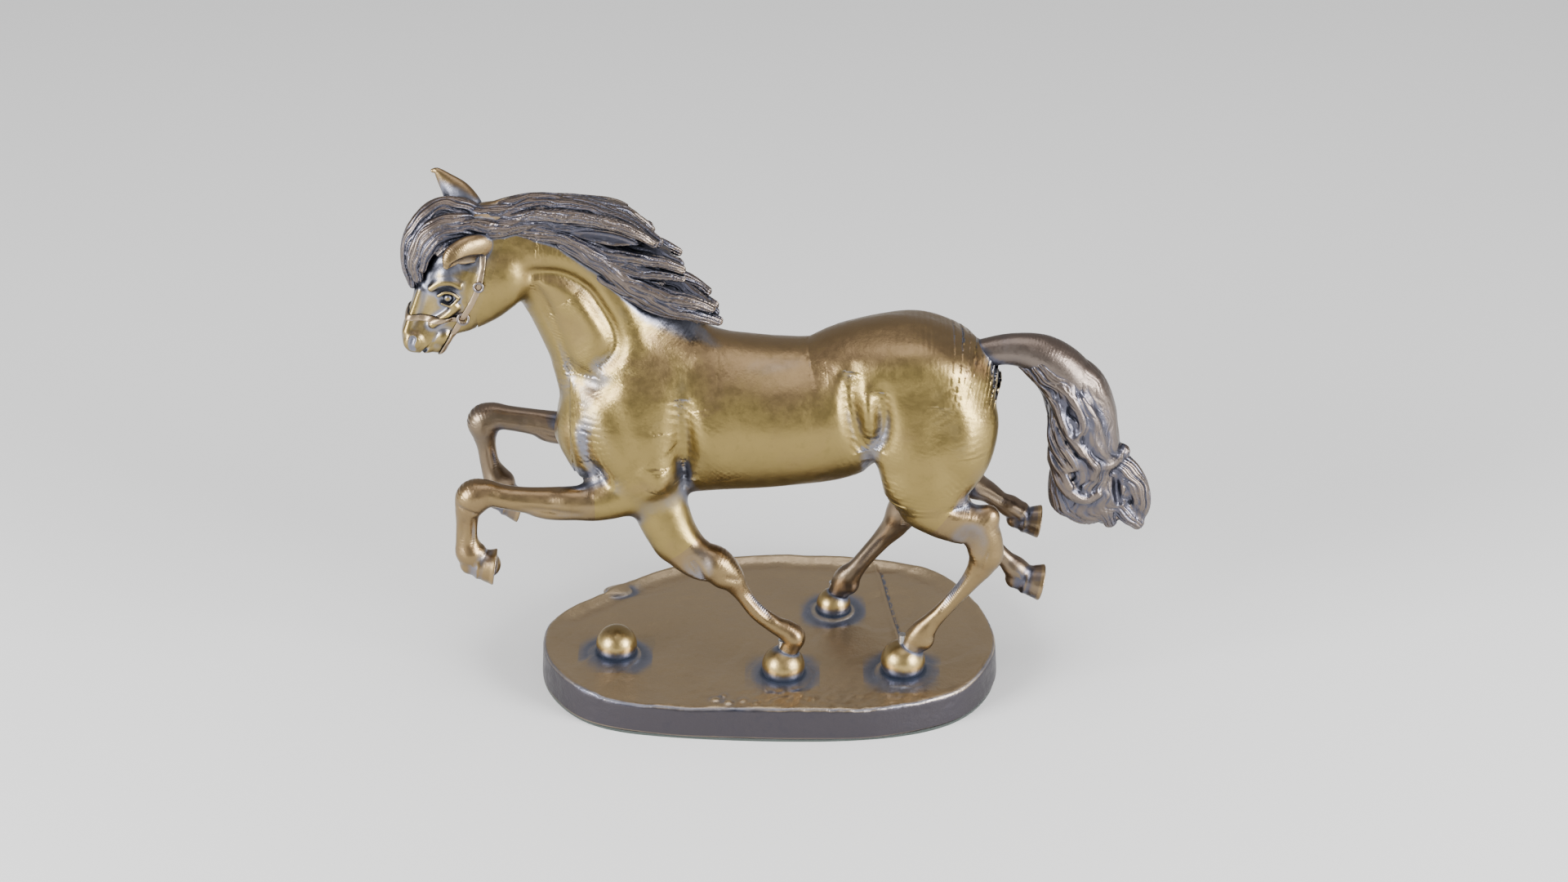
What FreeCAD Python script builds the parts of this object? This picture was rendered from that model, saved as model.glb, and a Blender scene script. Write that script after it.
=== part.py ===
"""Bronze horse statue on an oval ground plinth, modelled as the separate castings and fixings it is assembled from.

Frame: millimetres, +Z up. The origin is the centre of the plinth's underside. The horse gallops towards -X,
its near side faces -Y and its tail streams towards +X.

The horse is a set of castings that meet face to face: a hollow torso, and solid neck, head, hair, tail and legs.
Each limb is pinned to its neighbour by a steel dowel, and each planted foot is held to the plinth by a stud that
passes through a round foot dome, with a washer and a nut inside the hollow plinth. A felt sheet closes the underside.
"""
import math
import os

import FreeCAD
import Part

V = FreeCAD.Vector

# ---- driving dimensions, in millimetres -------------------------------------------------------------------------
HORSE_SPAN = 456.0  # muzzle to tail end, the size that the horse's own shape is drawn at
DRAWN_SPAN = 456.0  # the span of the points listed below
BASE_LENGTH = 288.0  # plinth, along X
BASE_WIDTH = 184.0  # plinth, along Y
BASE_HEIGHT = 24.0  # underside of the felt to the plinth's flat top
FELT_THICKNESS = 1.5
FELT_INSET = 2.0  # the felt stops this far inside the plinth's edge
BASE_WALL = 5.0  # side wall of the hollow plinth
BASE_TOP_WALL = 6.0  # top wall of the hollow plinth
BASE_DRAFT = 3.0  # the top outline is this much smaller all round than the bottom one
TORSO_WALL = 6.0
STUD_RADIUS = 2.5
STUD_BITE = 6.0  # how far a stud reaches into the leg above its dome
SPARE_COVER = 5.0  # metal left over the stud of the dome that carries no leg
STUD_TAIL = 7.0  # stud length below the plinth's top wall
WASHER_RADIUS = 6.0
WASHER_THICKNESS = 1.0
NUT_ACROSS_FLATS = 8.0
NUT_HEIGHT = 4.0
DOWEL_RADIUS = 2.0
DOWEL_LENGTH = 18.0
HOLE_CLEARANCE = 0.1  # radial clearance of a stud or a dowel in its hole
STRAP_THICKNESS = 1.3
STRAP_WIDTH = 3.4
STRAP_GAP = 0.05  # between a strap and the head
RING_RADIUS = 2.4
RING_WIRE = 0.7
NOSEBAND_AT = 5  # the head section that the noseband goes round
CHEEK_AT = 3  # the head section that the cheek strap crosses
CHEEK_SET_BACK = 8.0  # how far towards the jaw the cheek strap lies from the head's middle
HEAD_REACH = 60.0  # more than the head's size from any of its sections

SCALE = HORSE_SPAN / DRAWN_SPAN
SIDE = V(0, 1, 0)

# ---- the horse's points, in its drawn size, z measured from the plinth's flat top --------------------------------
# Lofted bodies: x, y, z, half depth in the body's own plane, half width across.
BARREL = [
    (-121, -12, 150, 6, 6),
    (-116, -12, 150, 23, 18),
    (-100, -12, 153, 38, 31),
    (-74, -12, 160, 48, 38),
    (-44, -12, 165, 52, 41),
    (5, -12, 165, 48, 43),
    (35, -12, 168, 46, 42),
    (59, -12, 178, 46, 41),
    (84, -12, 182, 46, 42),
    (104, -12, 181, 41, 40),
    (119, -12, 177, 31, 31),
    (129, -12, 173, 18, 20),
    (133, -12, 172, 6, 6),
]
NEAR_THIGH = [
    (110, -24, 196, 20, 12),
    (106, -31, 178, 33, 22),
    (99, -39, 157, 35, 22),
    (93, -43, 138, 30, 17),
    (92, -45, 124, 20, 13),
    (92, -45, 117, 9, 7),
]
FAR_THIGH = [
    (110, 0, 196, 20, 12),
    (106, 7, 178, 33, 22),
    (99, 15, 157, 35, 22),
    (93, 19, 138, 30, 17),
    (92, 21, 124, 20, 13),
    (92, 21, 117, 9, 7),
]
NECK = [
    (-55, -12, 172, 46, 30),
    (-74, -12, 189, 49, 31),
    (-88, -12, 208, 44, 28),
    (-99, -12, 226, 38, 25),
    (-116, -12, 251, 32, 21),
    (-134, -13, 271, 27, 18),
    (-153, -14, 282, 23, 16),
    (-166, -15, 286, 19, 15),
]
HEAD = [
    (-170, -14, 298, 8, 7),
    (-170, -15, 293, 17, 13),
    (-170, -17, 282, 27, 16),
    (-174, -20, 268, 31, 16),
    (-187, -24, 253, 24, 14),
    (-196, -28, 241, 17, 12),
    (-202, -31, 232, 13.5, 11),
    (-206, -33, 225, 10, 9),
    (-207, -33, 222, 4, 4),
]
FAR_EAR = [(-176, -3, 296, 8, 6), (-181, -2, 304, 7, 5), (-188, 0, 312, 5, 3), (-196, 2, 320, 1.2, 1)]
NEAR_EAR = [(-170, -26, 282, 7, 6), (-177, -33, 285, 7, 5), (-184, -40, 287, 5, 3), (-191, -47, 289, 1.2, 1)]
FORELOCK = [
    (-172, -14, 296, 5, 9),
    (-184, -15, 297, 6, 13),
    (-197, -18, 290, 6, 14),
    (-206, -22, 277, 5, 12),
    (-207, -25, 264, 3, 7),
    (-206, -26, 256, 1.2, 3),
]
MANE_CREST = [
    (-166, -12, 292, 9, 9),
    (-144, -12, 298, 10, 9),
    (-118, -14, 296, 11, 9),
    (-92, -17, 290, 12, 9),
    (-72, -22, 286, 8, 7),
    (-60, -25, 285, 2, 2),
]
MANE_MIDDLE = [
    (-112, -12, 276, 12, 9),
    (-92, -14, 272, 13, 10),
    (-68, -18, 273, 9, 8),
    (-48, -22, 273, 2.5, 2.5),
]
MANE_LOWER = [
    (-94, -12, 254, 13, 10),
    (-72, -14, 248, 14, 11),
    (-48, -18, 243, 9, 8),
    (-26, -22, 236, 2, 2),
]
TAIL = [
    (112, -12, 199, 9, 9),
    (130, -12, 205, 9, 8.5),
    (150, -12, 207, 10, 9),
    (168, -12, 200, 13, 12),
    (183, -12, 184, 18, 15),
    (190, -12, 162, 22, 17),
    (195, -12, 138, 24, 18),
    (201, -12, 117, 28, 18),
    (208, -12, 102, 31, 15),
    (213, -12, 94, 24, 10),
    (215, -12, 91, 10, 5),
]
DOCK_END = 4  # the tail section where the bare dock stops and the hair of the switch starts
# Legs: x, y, z, radius, from inside the torso to the foot.
FORELEG_NEAR_RAISED = [
    (-72, -38, 130, 15), (-92, -42, 122, 12), (-118, -45, 121, 9), (-145, -46, 123, 7.2), (-166, -46, 125, 7.6),
    (-177, -46, 124, 9), (-181, -46, 106, 6.4), (-183, -46, 92, 6.2), (-181, -46, 84, 8), (-173, -46, 77, 7),
    (-165, -46, 76, 10),
]
FORELEG_FAR_RAISED = [
    (-80, 8, 140, 15), (-100, 14, 137, 12), (-130, 18, 138, 9), (-152, 20, 141, 7.2), (-166, 20, 142, 7.6),
    (-175, 20, 141, 9), (-174, 20, 122, 6.4), (-172, 20, 108, 6.2), (-168, 20, 100, 8), (-161, 20, 91, 7),
    (-152, 20, 85, 10),
]
FORELEG_PLANTED = [
    (-72, -26, 136, 18), (-66, -34, 115, 17), (-48, -41, 90, 14), (-33, -45, 77, 11), (-25, -46, 67, 8.5),
    (-14, -48, 54, 5.4), (4, -50, 38, 5.4), (14, -51, 31, 7), (9.5, -50, 25, 6.4), (9, -50, 12, 6.4),
]
HINDLEG_NEAR_PLANTED = [
    (94, -43, 132, 17), (104, -47, 112, 14.5), (124, -48, 100, 13), (127, -47, 90, 11), (118, -47, 66, 7),
    (104, -47, 42, 6.2), (93, -47, 31, 7.8), (84, -46, 26, 7), (83, -46, 12, 7),
]
HINDLEG_FAR_PLANTED = [
    (97, 14, 132, 16), (90, 16, 92, 13), (82, 19, 69, 9.5), (67, 21, 48, 6.4), (54, 23, 33, 6.4),
    (45, 24, 25, 7.2), (41.5, 24, 19, 6.6), (41, 24, 8, 6.6),
]
HINDLEG_NEAR_RAISED = [
    (104, -20, 142, 14), (116, -15, 97, 10.5), (134, -15, 76, 6.6), (147, -16, 63, 6), (156, -16, 55, 8),
    (168, -16, 44, 11),
]
HINDLEG_FAR_RAISED = [
    (104, 14, 134, 15), (122, 16, 102, 11), (138, 18, 87, 7), (148, 18, 80, 6.4), (155, 18, 75, 8),
    (168, 18, 64, 11),
]
# Each leg's points, and the point where its own casting starts: the part before it belongs to the torso's casting.
LEGS = {
    "foreleg_near_raised": (FORELEG_NEAR_RAISED, 2),
    "foreleg_far_raised": (FORELEG_FAR_RAISED, 2),
    "foreleg_planted": (FORELEG_PLANTED, 2),
    "hindleg_near_planted": (HINDLEG_NEAR_PLANTED, 1),
    "hindleg_far_planted": (HINDLEG_FAR_PLANTED, 1),
    "hindleg_near_raised": (HINDLEG_NEAR_RAISED, 1),
    "hindleg_far_raised": (HINDLEG_FAR_RAISED, 1),
}
# The dome under each planted leg.
STANDS_ON = {
    "foreleg_planted": "dome_foreleg",
    "hindleg_near_planted": "dome_hind_near",
    "hindleg_far_planted": "dome_hind_far",
}
# Foot domes: x, y, radius, and the height of the ball's centre over the plinth's top.
DOMES = {
    "dome_foreleg": (9, -50, 12.5, 6.0),
    "dome_hind_near": (83, -46, 13.0, 7.0),
    "dome_hind_far": (41, 24, 10.0, 4.0),
    "dome_spare": (-95, -26, 12.0, 6.0),
}
# The plinth's outline, as shares of its half length and half width.
BASE_OUTLINE = [
    (-1.0, -0.14), (-0.94, -0.48), (-0.77, -0.79), (-0.45, -0.94), (0.1, -1.0), (0.5, -0.96), (0.82, -0.76),
    (0.98, -0.38), (1.0, 0.05), (0.9, 0.5), (0.72, 0.84), (0.35, 0.99), (-0.15, 0.99), (-0.51, 0.8), (-0.79, 0.45),
    (-0.96, 0.18),
]


# ---- helpers -----------------------------------------------------------------------------------------------------
def at(x, y, z):
    """A point of the horse, in the statue's frame."""
    return V(x * SCALE, y * SCALE, BASE_HEIGHT + z * SCALE)


def centres(sections):
    """The points that a body's or a limb's sections are listed about."""
    return [at(*section[:3]) for section in sections]


def ring(centre, across, side, depth, width):
    """A closed oval wire about centre, depth along across and width along side."""
    count = 12
    points = []
    for i in range(count):
        angle = 2 * math.pi * i / count
        points.append(centre + across * (depth * math.cos(angle)) + side * (width * math.sin(angle)))
    curve = Part.BSplineCurve()
    curve.interpolate(Points=points, PeriodicFlag=True)
    return Part.Wire([curve.toShape()])


def body(sections, grow=0.0):
    """A solid lofted through oval sections that stand square to the line through their centres."""
    middles = centres(sections)
    wires = []
    for i, s in enumerate(sections):
        along = middles[min(i + 1, len(middles) - 1)] - middles[max(i - 1, 0)]
        along.normalize()
        across = SIDE.cross(along).normalize()
        side = along.cross(across).normalize()
        wires.append(ring(middles[i], across, side, s[3] * SCALE + grow, s[4] * SCALE + grow))
    return Part.makeLoft(wires, True, False)


def shrunk(sections, wall):
    """The sections of a body's hollow: the inner ones, smaller by the wall."""
    kept = [s for s in sections if min(s[3], s[4]) * SCALE > 3 * wall]
    return [(x, y, z, depth - wall / SCALE, width - wall / SCALE) for x, y, z, depth, width in kept]


def limb(nodes):
    """A limb of straight tapered lengths through round sections, mitred at every bend."""
    middles = centres(nodes)
    steps = [(b - a).normalize() for a, b in zip(middles, middles[1:])]
    wires = []
    for i, (middle, node) in enumerate(zip(middles, nodes)):
        along = (steps[max(i - 1, 0)] + steps[min(i, len(steps) - 1)]).normalize()
        across = SIDE.cross(along).normalize()
        side = along.cross(across).normalize()
        wires.append(ring(middle, across, side, node[3] * SCALE, node[3] * SCALE))
    return Part.makeLoft(wires, True, True)


def largest(shape):
    """The largest solid of a shape, so that a cut leaves one casting."""
    return max(shape.Solids, key=lambda s: s.Volume)


def half_space(middles, index):
    """A block that holds everything past one of a path's points, square to the path there."""
    along = (middles[index + 1] - middles[index - 1]).normalize()
    reach = HORSE_SPAN / 3
    return Part.makeCylinder(reach, reach, middles[index], along)


def rod(start, end, radius):
    return Part.makeCylinder(radius, (end - start).Length, start, end - start)


def leaves(solid, path):
    """Where a path of points leaves the solid, and the path's next point."""
    for inside, outside in zip(path, path[1:]):
        if solid.isInside(inside, 0.01, True) and not solid.isInside(outside, 0.01, True):
            kept = solid.common(Part.makeLine(inside, outside))
            exits = [vertex.Point for vertex in kept.Vertexes]
            return max(exits, key=lambda point: (point - inside).Length), outside
    raise ValueError("the path never leaves the solid")


def outline(height, inset):
    """The plinth's outline at a height, moved in by inset."""
    half_x, half_y = BASE_LENGTH / 2 - inset, BASE_WIDTH / 2 - inset
    curve = Part.BSplineCurve()
    curve.interpolate(Points=[V(x * half_x, y * half_y, height) for x, y in BASE_OUTLINE], PeriodicFlag=True)
    return Part.Wire([curve.toShape()])


def prism(height, inset, thickness):
    return Part.Face(outline(height, inset)).extrude(V(0, 0, thickness))


def hexagon(centre, across_flats, height):
    corner = across_flats / math.sqrt(3)
    points = [centre + V(corner * math.cos(i * math.pi / 3), corner * math.sin(i * math.pi / 3), 0) for i in range(7)]
    return Part.Face(Part.makePolygon(points)).extrude(V(0, 0, height))


# ---- plinth and foot domes ----------------------------------------------------------------------------------------
def dome_centres():
    return {name: at(x, y, height) for name, (x, y, r, height) in DOMES.items()}


def make_domes():
    """Round foot domes that stand flat on the plinth, each with a hole for its stud."""
    domes = {}
    for name, centre in dome_centres().items():
        radius = DOMES[name][2] * SCALE
        foot_latitude = -math.degrees(math.asin((centre.z - BASE_HEIGHT) / radius))
        domes[name] = Part.makeSphere(radius, centre, V(0, 0, 1), foot_latitude, 90, 360)
    return domes


def stud_tops():
    """The top of each dome's stud: inside the leg, or inside the dome that carries no leg."""
    tops = {}
    for name, centre in dome_centres().items():
        over = -SPARE_COVER if name == "dome_spare" else STUD_BITE
        tops[name] = V(centre.x, centre.y, centre.z + DOMES[name][2] * SCALE + over)
    return tops


def make_studs():
    """One stud per dome, with the washer and nut that pull it down against the plinth's top wall."""
    under_top = BASE_HEIGHT - BASE_TOP_WALL
    studs, washers, nuts = [], [], []
    for centre in stud_tops().values():
        foot = V(centre.x, centre.y, under_top - STUD_TAIL)
        studs.append(rod(foot, centre, STUD_RADIUS))
        seat = V(centre.x, centre.y, under_top - WASHER_THICKNESS)
        hole = rod(V(centre.x, centre.y, 0), V(centre.x, centre.y, BASE_HEIGHT), STUD_RADIUS + HOLE_CLEARANCE)
        washer = Part.makeCylinder(WASHER_RADIUS, WASHER_THICKNESS, seat)
        washers.append(washer.cut(hole))
        nuts.append(hexagon(seat - V(0, 0, NUT_HEIGHT), NUT_ACROSS_FLATS, NUT_HEIGHT).cut(hole))
    return studs, washers, nuts


def stud_holes():
    """What every piece that a stud passes through is cut with."""
    return [rod(V(top.x, top.y, FELT_THICKNESS), top, STUD_RADIUS + HOLE_CLEARANCE) for top in stud_tops().values()]


def make_base():
    """The hollow plinth: a tapered shell, open underneath."""
    outer = Part.makeLoft([outline(FELT_THICKNESS, 0), outline(BASE_HEIGHT, BASE_DRAFT)], True, True)
    pocket = prism(FELT_THICKNESS, BASE_WALL + BASE_DRAFT, BASE_HEIGHT - BASE_TOP_WALL - FELT_THICKNESS)
    return outer.cut(pocket)


# ---- the horse ----------------------------------------------------------------------------------------------------
def cut_all(shape, tools):
    for tool in tools:
        shape = shape.cut(tool)
    return shape


def make_dowels(joints):
    """A dowel across each joint, centred on the first of its two points and aimed at the second."""
    dowels, holes = [], []
    for centre, onwards in joints:
        along = (onwards - centre).normalize() * (DOWEL_LENGTH / 2)
        dowels.append(rod(centre - along, centre + along, DOWEL_RADIUS))
        holes.append(rod(centre - along, centre + along, DOWEL_RADIUS + HOLE_CLEARANCE))
    return dowels, holes


def make_halter(hair):
    """A noseband round the muzzle, a strap from it over the poll, and a ring on each side where they meet."""
    spared = body(HEAD, STRAP_GAP)
    skin = body(HEAD, STRAP_GAP + STRAP_THICKNESS)
    middles = centres(HEAD)
    along = (middles[6] - middles[2]).normalize()
    across = SIDE.cross(along).normalize()
    nose = middles[NOSEBAND_AT] - along * (STRAP_WIDTH / 2)
    noseband = skin.common(Part.makeCylinder(HEAD_REACH * SCALE, STRAP_WIDTH, nose, along)).cut(spared)
    cheek = middles[CHEEK_AT] - across * (CHEEK_SET_BACK * SCALE + STRAP_WIDTH / 2)
    cheek_strap = skin.common(Part.makeCylinder(HEAD_REACH * SCALE, STRAP_WIDTH, cheek, across)).cut(spared)
    cheek_strap = cheek_strap.cut(Part.makeCylinder(HEAD_REACH * SCALE, HEAD_REACH * SCALE, nose, along))
    cheek_strap = cut_all(cheek_strap, hair)
    rings = []
    for side in (-1, 1):
        out = HEAD[NOSEBAND_AT][4] * SCALE + STRAP_GAP + STRAP_THICKNESS + 2 * RING_WIRE
        rings.append(Part.makeTorus(RING_RADIUS, RING_WIRE, middles[NOSEBAND_AT] + V(0, side * out, 0), SIDE))
    return noseband, cheek_strap, rings


def main():
    os.makedirs("parts", exist_ok=True)
    parts = {}

    domes = make_domes()
    studs, washers, nuts = make_studs()
    holes = stud_holes()
    parts["base_felt"] = prism(0, FELT_INSET, FELT_THICKNESS)
    parts["base_casting"] = cut_all(make_base(), holes)
    for name, dome in domes.items():
        parts[name] = cut_all(dome, holes)
    parts["mounting_studs"] = Part.makeCompound(studs)
    parts["stud_washers"] = Part.makeCompound(washers)
    parts["stud_nuts"] = Part.makeCompound(nuts)

    barrel = body(BARREL)
    legs, stumps, joints = {}, [], []
    for name, (nodes, seam) in LEGS.items():
        whole = limb(nodes)
        past_seam = half_space(centres(nodes), seam)
        legs[name] = whole.common(past_seam)
        stumps.append(whole.cut(past_seam))
        joints.append(centres(nodes[seam:seam + 2]))
    for name, dome in STANDS_ON.items():
        legs[name] = legs[name].cut(domes[dome])
    torso_skin = barrel.fuse([body(NEAR_THIGH), body(FAR_THIGH)] + stumps)
    torso = torso_skin.cut(body(shrunk(BARREL, TORSO_WALL)))
    neck_skin = body(NECK)
    head_skin = body(HEAD)
    tail_skin = body(TAIL)

    dock_end = half_space(centres(TAIL), DOCK_END)
    dock = tail_skin.cut(dock_end)
    joints.append(leaves(barrel, centres(NECK)))
    joints.append(leaves(neck_skin, centres([NECK[-2], HEAD[3]])))
    joints.append(leaves(barrel, centres(TAIL)))
    joints.append(centres(TAIL[DOCK_END:DOCK_END + 2]))
    dowels, dowel_holes = make_dowels(joints)
    parts["joint_dowels"] = Part.makeCompound(dowels)

    drills = dowel_holes + holes
    parts["torso_casting"] = largest(cut_all(torso, dowel_holes))
    for name, leg in legs.items():
        parts[name] = largest(cut_all(leg, drills))
    neck = neck_skin.cut(barrel)
    head = head_skin.cut(neck_skin)
    parts["neck_casting"] = largest(cut_all(neck, dowel_holes))
    parts["head_casting"] = largest(cut_all(head, dowel_holes))
    parts["tail_dock"] = largest(cut_all(dock.cut(barrel), dowel_holes))
    parts["tail_switch"] = largest(cut_all(tail_skin.common(dock_end), dowel_holes))

    crest = body(MANE_CREST).cut(neck_skin).cut(head_skin)
    middle = body(MANE_MIDDLE).cut(neck_skin).cut(body(MANE_CREST))
    lower = body(MANE_LOWER).cut(neck_skin).cut(barrel).cut(body(MANE_MIDDLE))
    parts["mane_crest"] = largest(crest)
    parts["mane_middle"] = largest(middle)
    parts["mane_lower"] = largest(lower)
    far_ear, near_ear = body(FAR_EAR), body(NEAR_EAR)
    mane_skin = body(MANE_CREST)
    parts["ear_far"] = largest(cut_all(far_ear, [head_skin, neck_skin, mane_skin]))
    parts["ear_near"] = largest(cut_all(near_ear, [head_skin, neck_skin, mane_skin]))
    parts["forelock"] = largest(cut_all(body(FORELOCK), [head_skin, neck_skin, mane_skin, far_ear, near_ear]))

    hair = [neck_skin, mane_skin, far_ear, near_ear, body(FORELOCK)]
    noseband, cheek_strap, rings = make_halter(hair)
    parts["halter_noseband"] = noseband
    parts["halter_cheek_strap"] = Part.makeCompound([piece for piece in cheek_strap.Solids if piece.Volume > 20])
    parts["halter_rings"] = Part.makeCompound(rings)

    for name, shape in parts.items():
        solids = shape.Solids
        kept = solids[0] if len(solids) == 1 else Part.makeCompound(solids)
        kept.exportStep(f"parts/{name}.step")
        print(f"{name:24s} solids {len(solids)} valid {kept.isValid()} volume {kept.Volume:10.0f}")


main()
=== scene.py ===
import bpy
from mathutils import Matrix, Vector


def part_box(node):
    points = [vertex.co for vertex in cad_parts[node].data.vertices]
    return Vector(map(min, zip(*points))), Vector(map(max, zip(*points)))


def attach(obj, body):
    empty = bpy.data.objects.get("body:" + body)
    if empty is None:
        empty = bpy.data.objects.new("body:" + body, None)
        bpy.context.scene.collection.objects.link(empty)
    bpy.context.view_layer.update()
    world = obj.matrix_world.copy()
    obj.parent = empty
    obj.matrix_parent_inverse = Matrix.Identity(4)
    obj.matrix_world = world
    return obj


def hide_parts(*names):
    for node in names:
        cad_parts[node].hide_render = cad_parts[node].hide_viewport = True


bl_info = {
    "name": "Bronze Horse Statue",
    "version": (1, 0, 0),
    "blender": (4, 5, 0),
    "location": "View3D > Sidebar > Bronze Horse",
    "description": "Models a cast bronze galloping horse, its halter, hair and plinth, and a plain studio",
    "category": "Add Mesh",
}

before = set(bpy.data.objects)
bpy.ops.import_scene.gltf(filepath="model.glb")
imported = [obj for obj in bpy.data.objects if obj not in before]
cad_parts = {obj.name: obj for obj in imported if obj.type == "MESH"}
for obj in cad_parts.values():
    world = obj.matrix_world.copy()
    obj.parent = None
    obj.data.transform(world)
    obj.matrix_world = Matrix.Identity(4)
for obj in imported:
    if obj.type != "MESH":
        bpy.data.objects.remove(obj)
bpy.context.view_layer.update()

import math

import bpy
import numpy as np
from bpy.props import FloatProperty, FloatVectorProperty, PointerProperty
from mathutils import Vector

# ---- the frame: everything below is drawn in millimetres, with z measured from the plinth's flat top ----
DRAWN_DOME_SPACING = 178.0  # from the spare dome to the near hind dome, along x


def middle(node):
    low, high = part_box(node)
    return (low + high) / 2


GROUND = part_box("base_casting")[1].z
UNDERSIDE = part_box("base_casting")[0].z
UNIT = (middle("dome_hind_near").x - middle("dome_spare").x) / DRAWN_DOME_SPACING
FLOOR_BELOW = (GROUND - UNDERSIDE) / UNIT  # the casting's underside, below the plinth's top

MID = -12.0  # the horse's middle plane
FAR = 60.0  # what a form reads as where it is too far off to matter
MARGIN = 9.0  # how far round a form its distances are worked out
BLOCK = 4  # cells along each side of the blocks that are searched for the surface
BLOCK_REACH = 1.5  # how many blocks away from the surface a block is still searched
CHUNK = 6_000_000  # the most distances that are worked out at once
SIDE = np.array([0.0, 1.0, 0.0])


def across(rows):
    """The same rows on the other side of the horse's middle plane."""
    return [(r[0], 2 * MID - r[1]) + tuple(r[2:]) for r in rows]


def unit(v):
    return v / np.maximum(np.linalg.norm(v, axis=-1, keepdims=True), 1e-9)


def curve(a, b, c, d, t):
    """The smooth curve from b to c, with a before them and d after."""
    bend = 2 * a - 5 * b + 4 * c - d
    twist = 3 * b - a - 3 * c + d
    return 0.5 * (2 * b + (c - a) * t + bend * t**2 + twist * t**3)


def smooth_rows(rows, step):
    """Rows of numbers, x y z first, joined by a smooth curve and sampled about every step."""
    p = np.asarray(rows, float)
    p = np.vstack([2 * p[0] - p[1], p, 2 * p[-1] - p[-2]])
    out = []
    for a, b, c, d in zip(p, p[1:], p[2:], p[3:]):
        count = max(2, math.ceil(np.linalg.norm(c[:3] - b[:3]) / step))
        t = np.arange(count)[:, None] / count
        out.append(curve(a, b, c, d, t))
    out.append(p[-2][None])
    return np.vstack(out)


# ---- forms: each gives a distance, negative inside -----------------------------------------------
class Form:
    """Something solid, with the box outside which it reads as far away."""

    low = high = None

    def near(self, p):
        if self.low is None:
            return np.arange(len(p))
        inside = (p[:, 0] > self.low[0]) & (p[:, 0] < self.high[0])
        for axis in (1, 2):
            inside &= (p[:, axis] > self.low[axis]) & (p[:, axis] < self.high[axis])
        return np.flatnonzero(inside)

    def box(self, points, reach):
        self.low = (points - reach[:, None]).min(0) - MARGIN
        self.high = (points + reach[:, None]).max(0) + MARGIN


class Tube(Form):
    """A bar along a smooth path.

    Its rows are x, y, z, half depth and half width, and may end with the way its depth faces.
    """

    def __init__(self, rows, step=2.5, strands=0, groove=0.0, wave=0.0, seed=0):
        rows = [tuple(r) + (r[3],) if len(r) == 4 else tuple(r) for r in rows]
        s = smooth_rows(rows, step)
        c, a, b = s[:, :3], np.maximum(s[:, 3], 0.25), np.maximum(s[:, 4], 0.25)
        along = unit(np.gradient(c, axis=0))
        deep = s[:, 5:8] - (s[:, 5:8] * along).sum(1,
            keepdims=True) * along if s.shape[1] > 5 else np.cross(SIDE, along)
        deep = unit(deep)
        self.table = np.hstack([c, along, deep, np.cross(along, deep), a[:, None],
                                b[:, None]]).astype(np.float32)
        self.square = (c**2).sum(1).astype(np.float32)
        gaps = np.linalg.norm(np.diff(c, axis=0), axis=1)
        self.gap = np.append(gaps, gaps[-1]).astype(np.float32)
        self.run = np.concatenate([[0], np.cumsum(gaps)]).astype(np.float32)
        self.strands, self.groove, self.wave = strands, groove, wave
        self.phase = np.random.default_rng(seed).uniform(0, 6.28, 4)
        self.box(c, np.maximum(a, b))

    def nearest(self, p):
        """The row of the path that each point is nearest to, and how far along the path it is."""
        last = len(self.table) - 1
        index = np.empty(len(p), np.int64)
        chunk = max(1, CHUNK // len(self.table))
        for i in range(0, len(p), chunk):
            index[i:i + chunk] = np.argmin(self.square - 2 * p[i:i + chunk] @ self.table[:, :3].T,
                                           axis=1)
        row = self.table[index]
        ahead = ((p - row[:, :3]) * row[:, 3:6]).sum(1) / self.gap[index]
        u = np.clip(index + ahead, 0, last)
        j = np.minimum(u.astype(np.int64), last - 1)
        t = (u - j)[:, None]
        return self.table[j] * (1 - t) + self.table[j + 1] * t, self.run[j] * (1 - t[:,
            0]) + self.run[j + 1] * t[:, 0]

    def __call__(self, p):
        row, run = self.nearest(p)
        q = p - row[:, :3]
        a, b = row[:, 12], row[:, 13]
        end = np.minimum(a, b)
        x = (q * row[:, 6:9]).sum(1) / a + 1e-4
        y = (q * row[:, 9:12]).sum(1) / b
        z = (q * row[:, 3:6]).sum(1) / end
        k = np.sqrt(x * x + y * y + z * z)
        g = np.sqrt((x / a) ** 2 + (y / b) ** 2 + (z / end) ** 2)
        d = k * (k - 1) / g
        if self.strands:
            turn = np.arctan2(y, x)
            sway = self.wave * np.sin(run * 0.21 + self.phase[0])
            bend = sway + 0.35 * np.sin(run * 0.47 + turn * 2 + self.phase[1])
            ridge = np.abs(np.sin(0.5 * self.strands * turn + bend + self.phase[2]))
            fine = np.abs(np.sin(1.1 * self.strands * turn + 1.7 * bend + self.phase[3]))
            fade = np.clip(end / 2.5, 0, 1)
            d = d + self.groove * fade * (0.75 * (1 - ridge) ** 2 + 0.35 * (1 - fine) ** 2)
        return d


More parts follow.
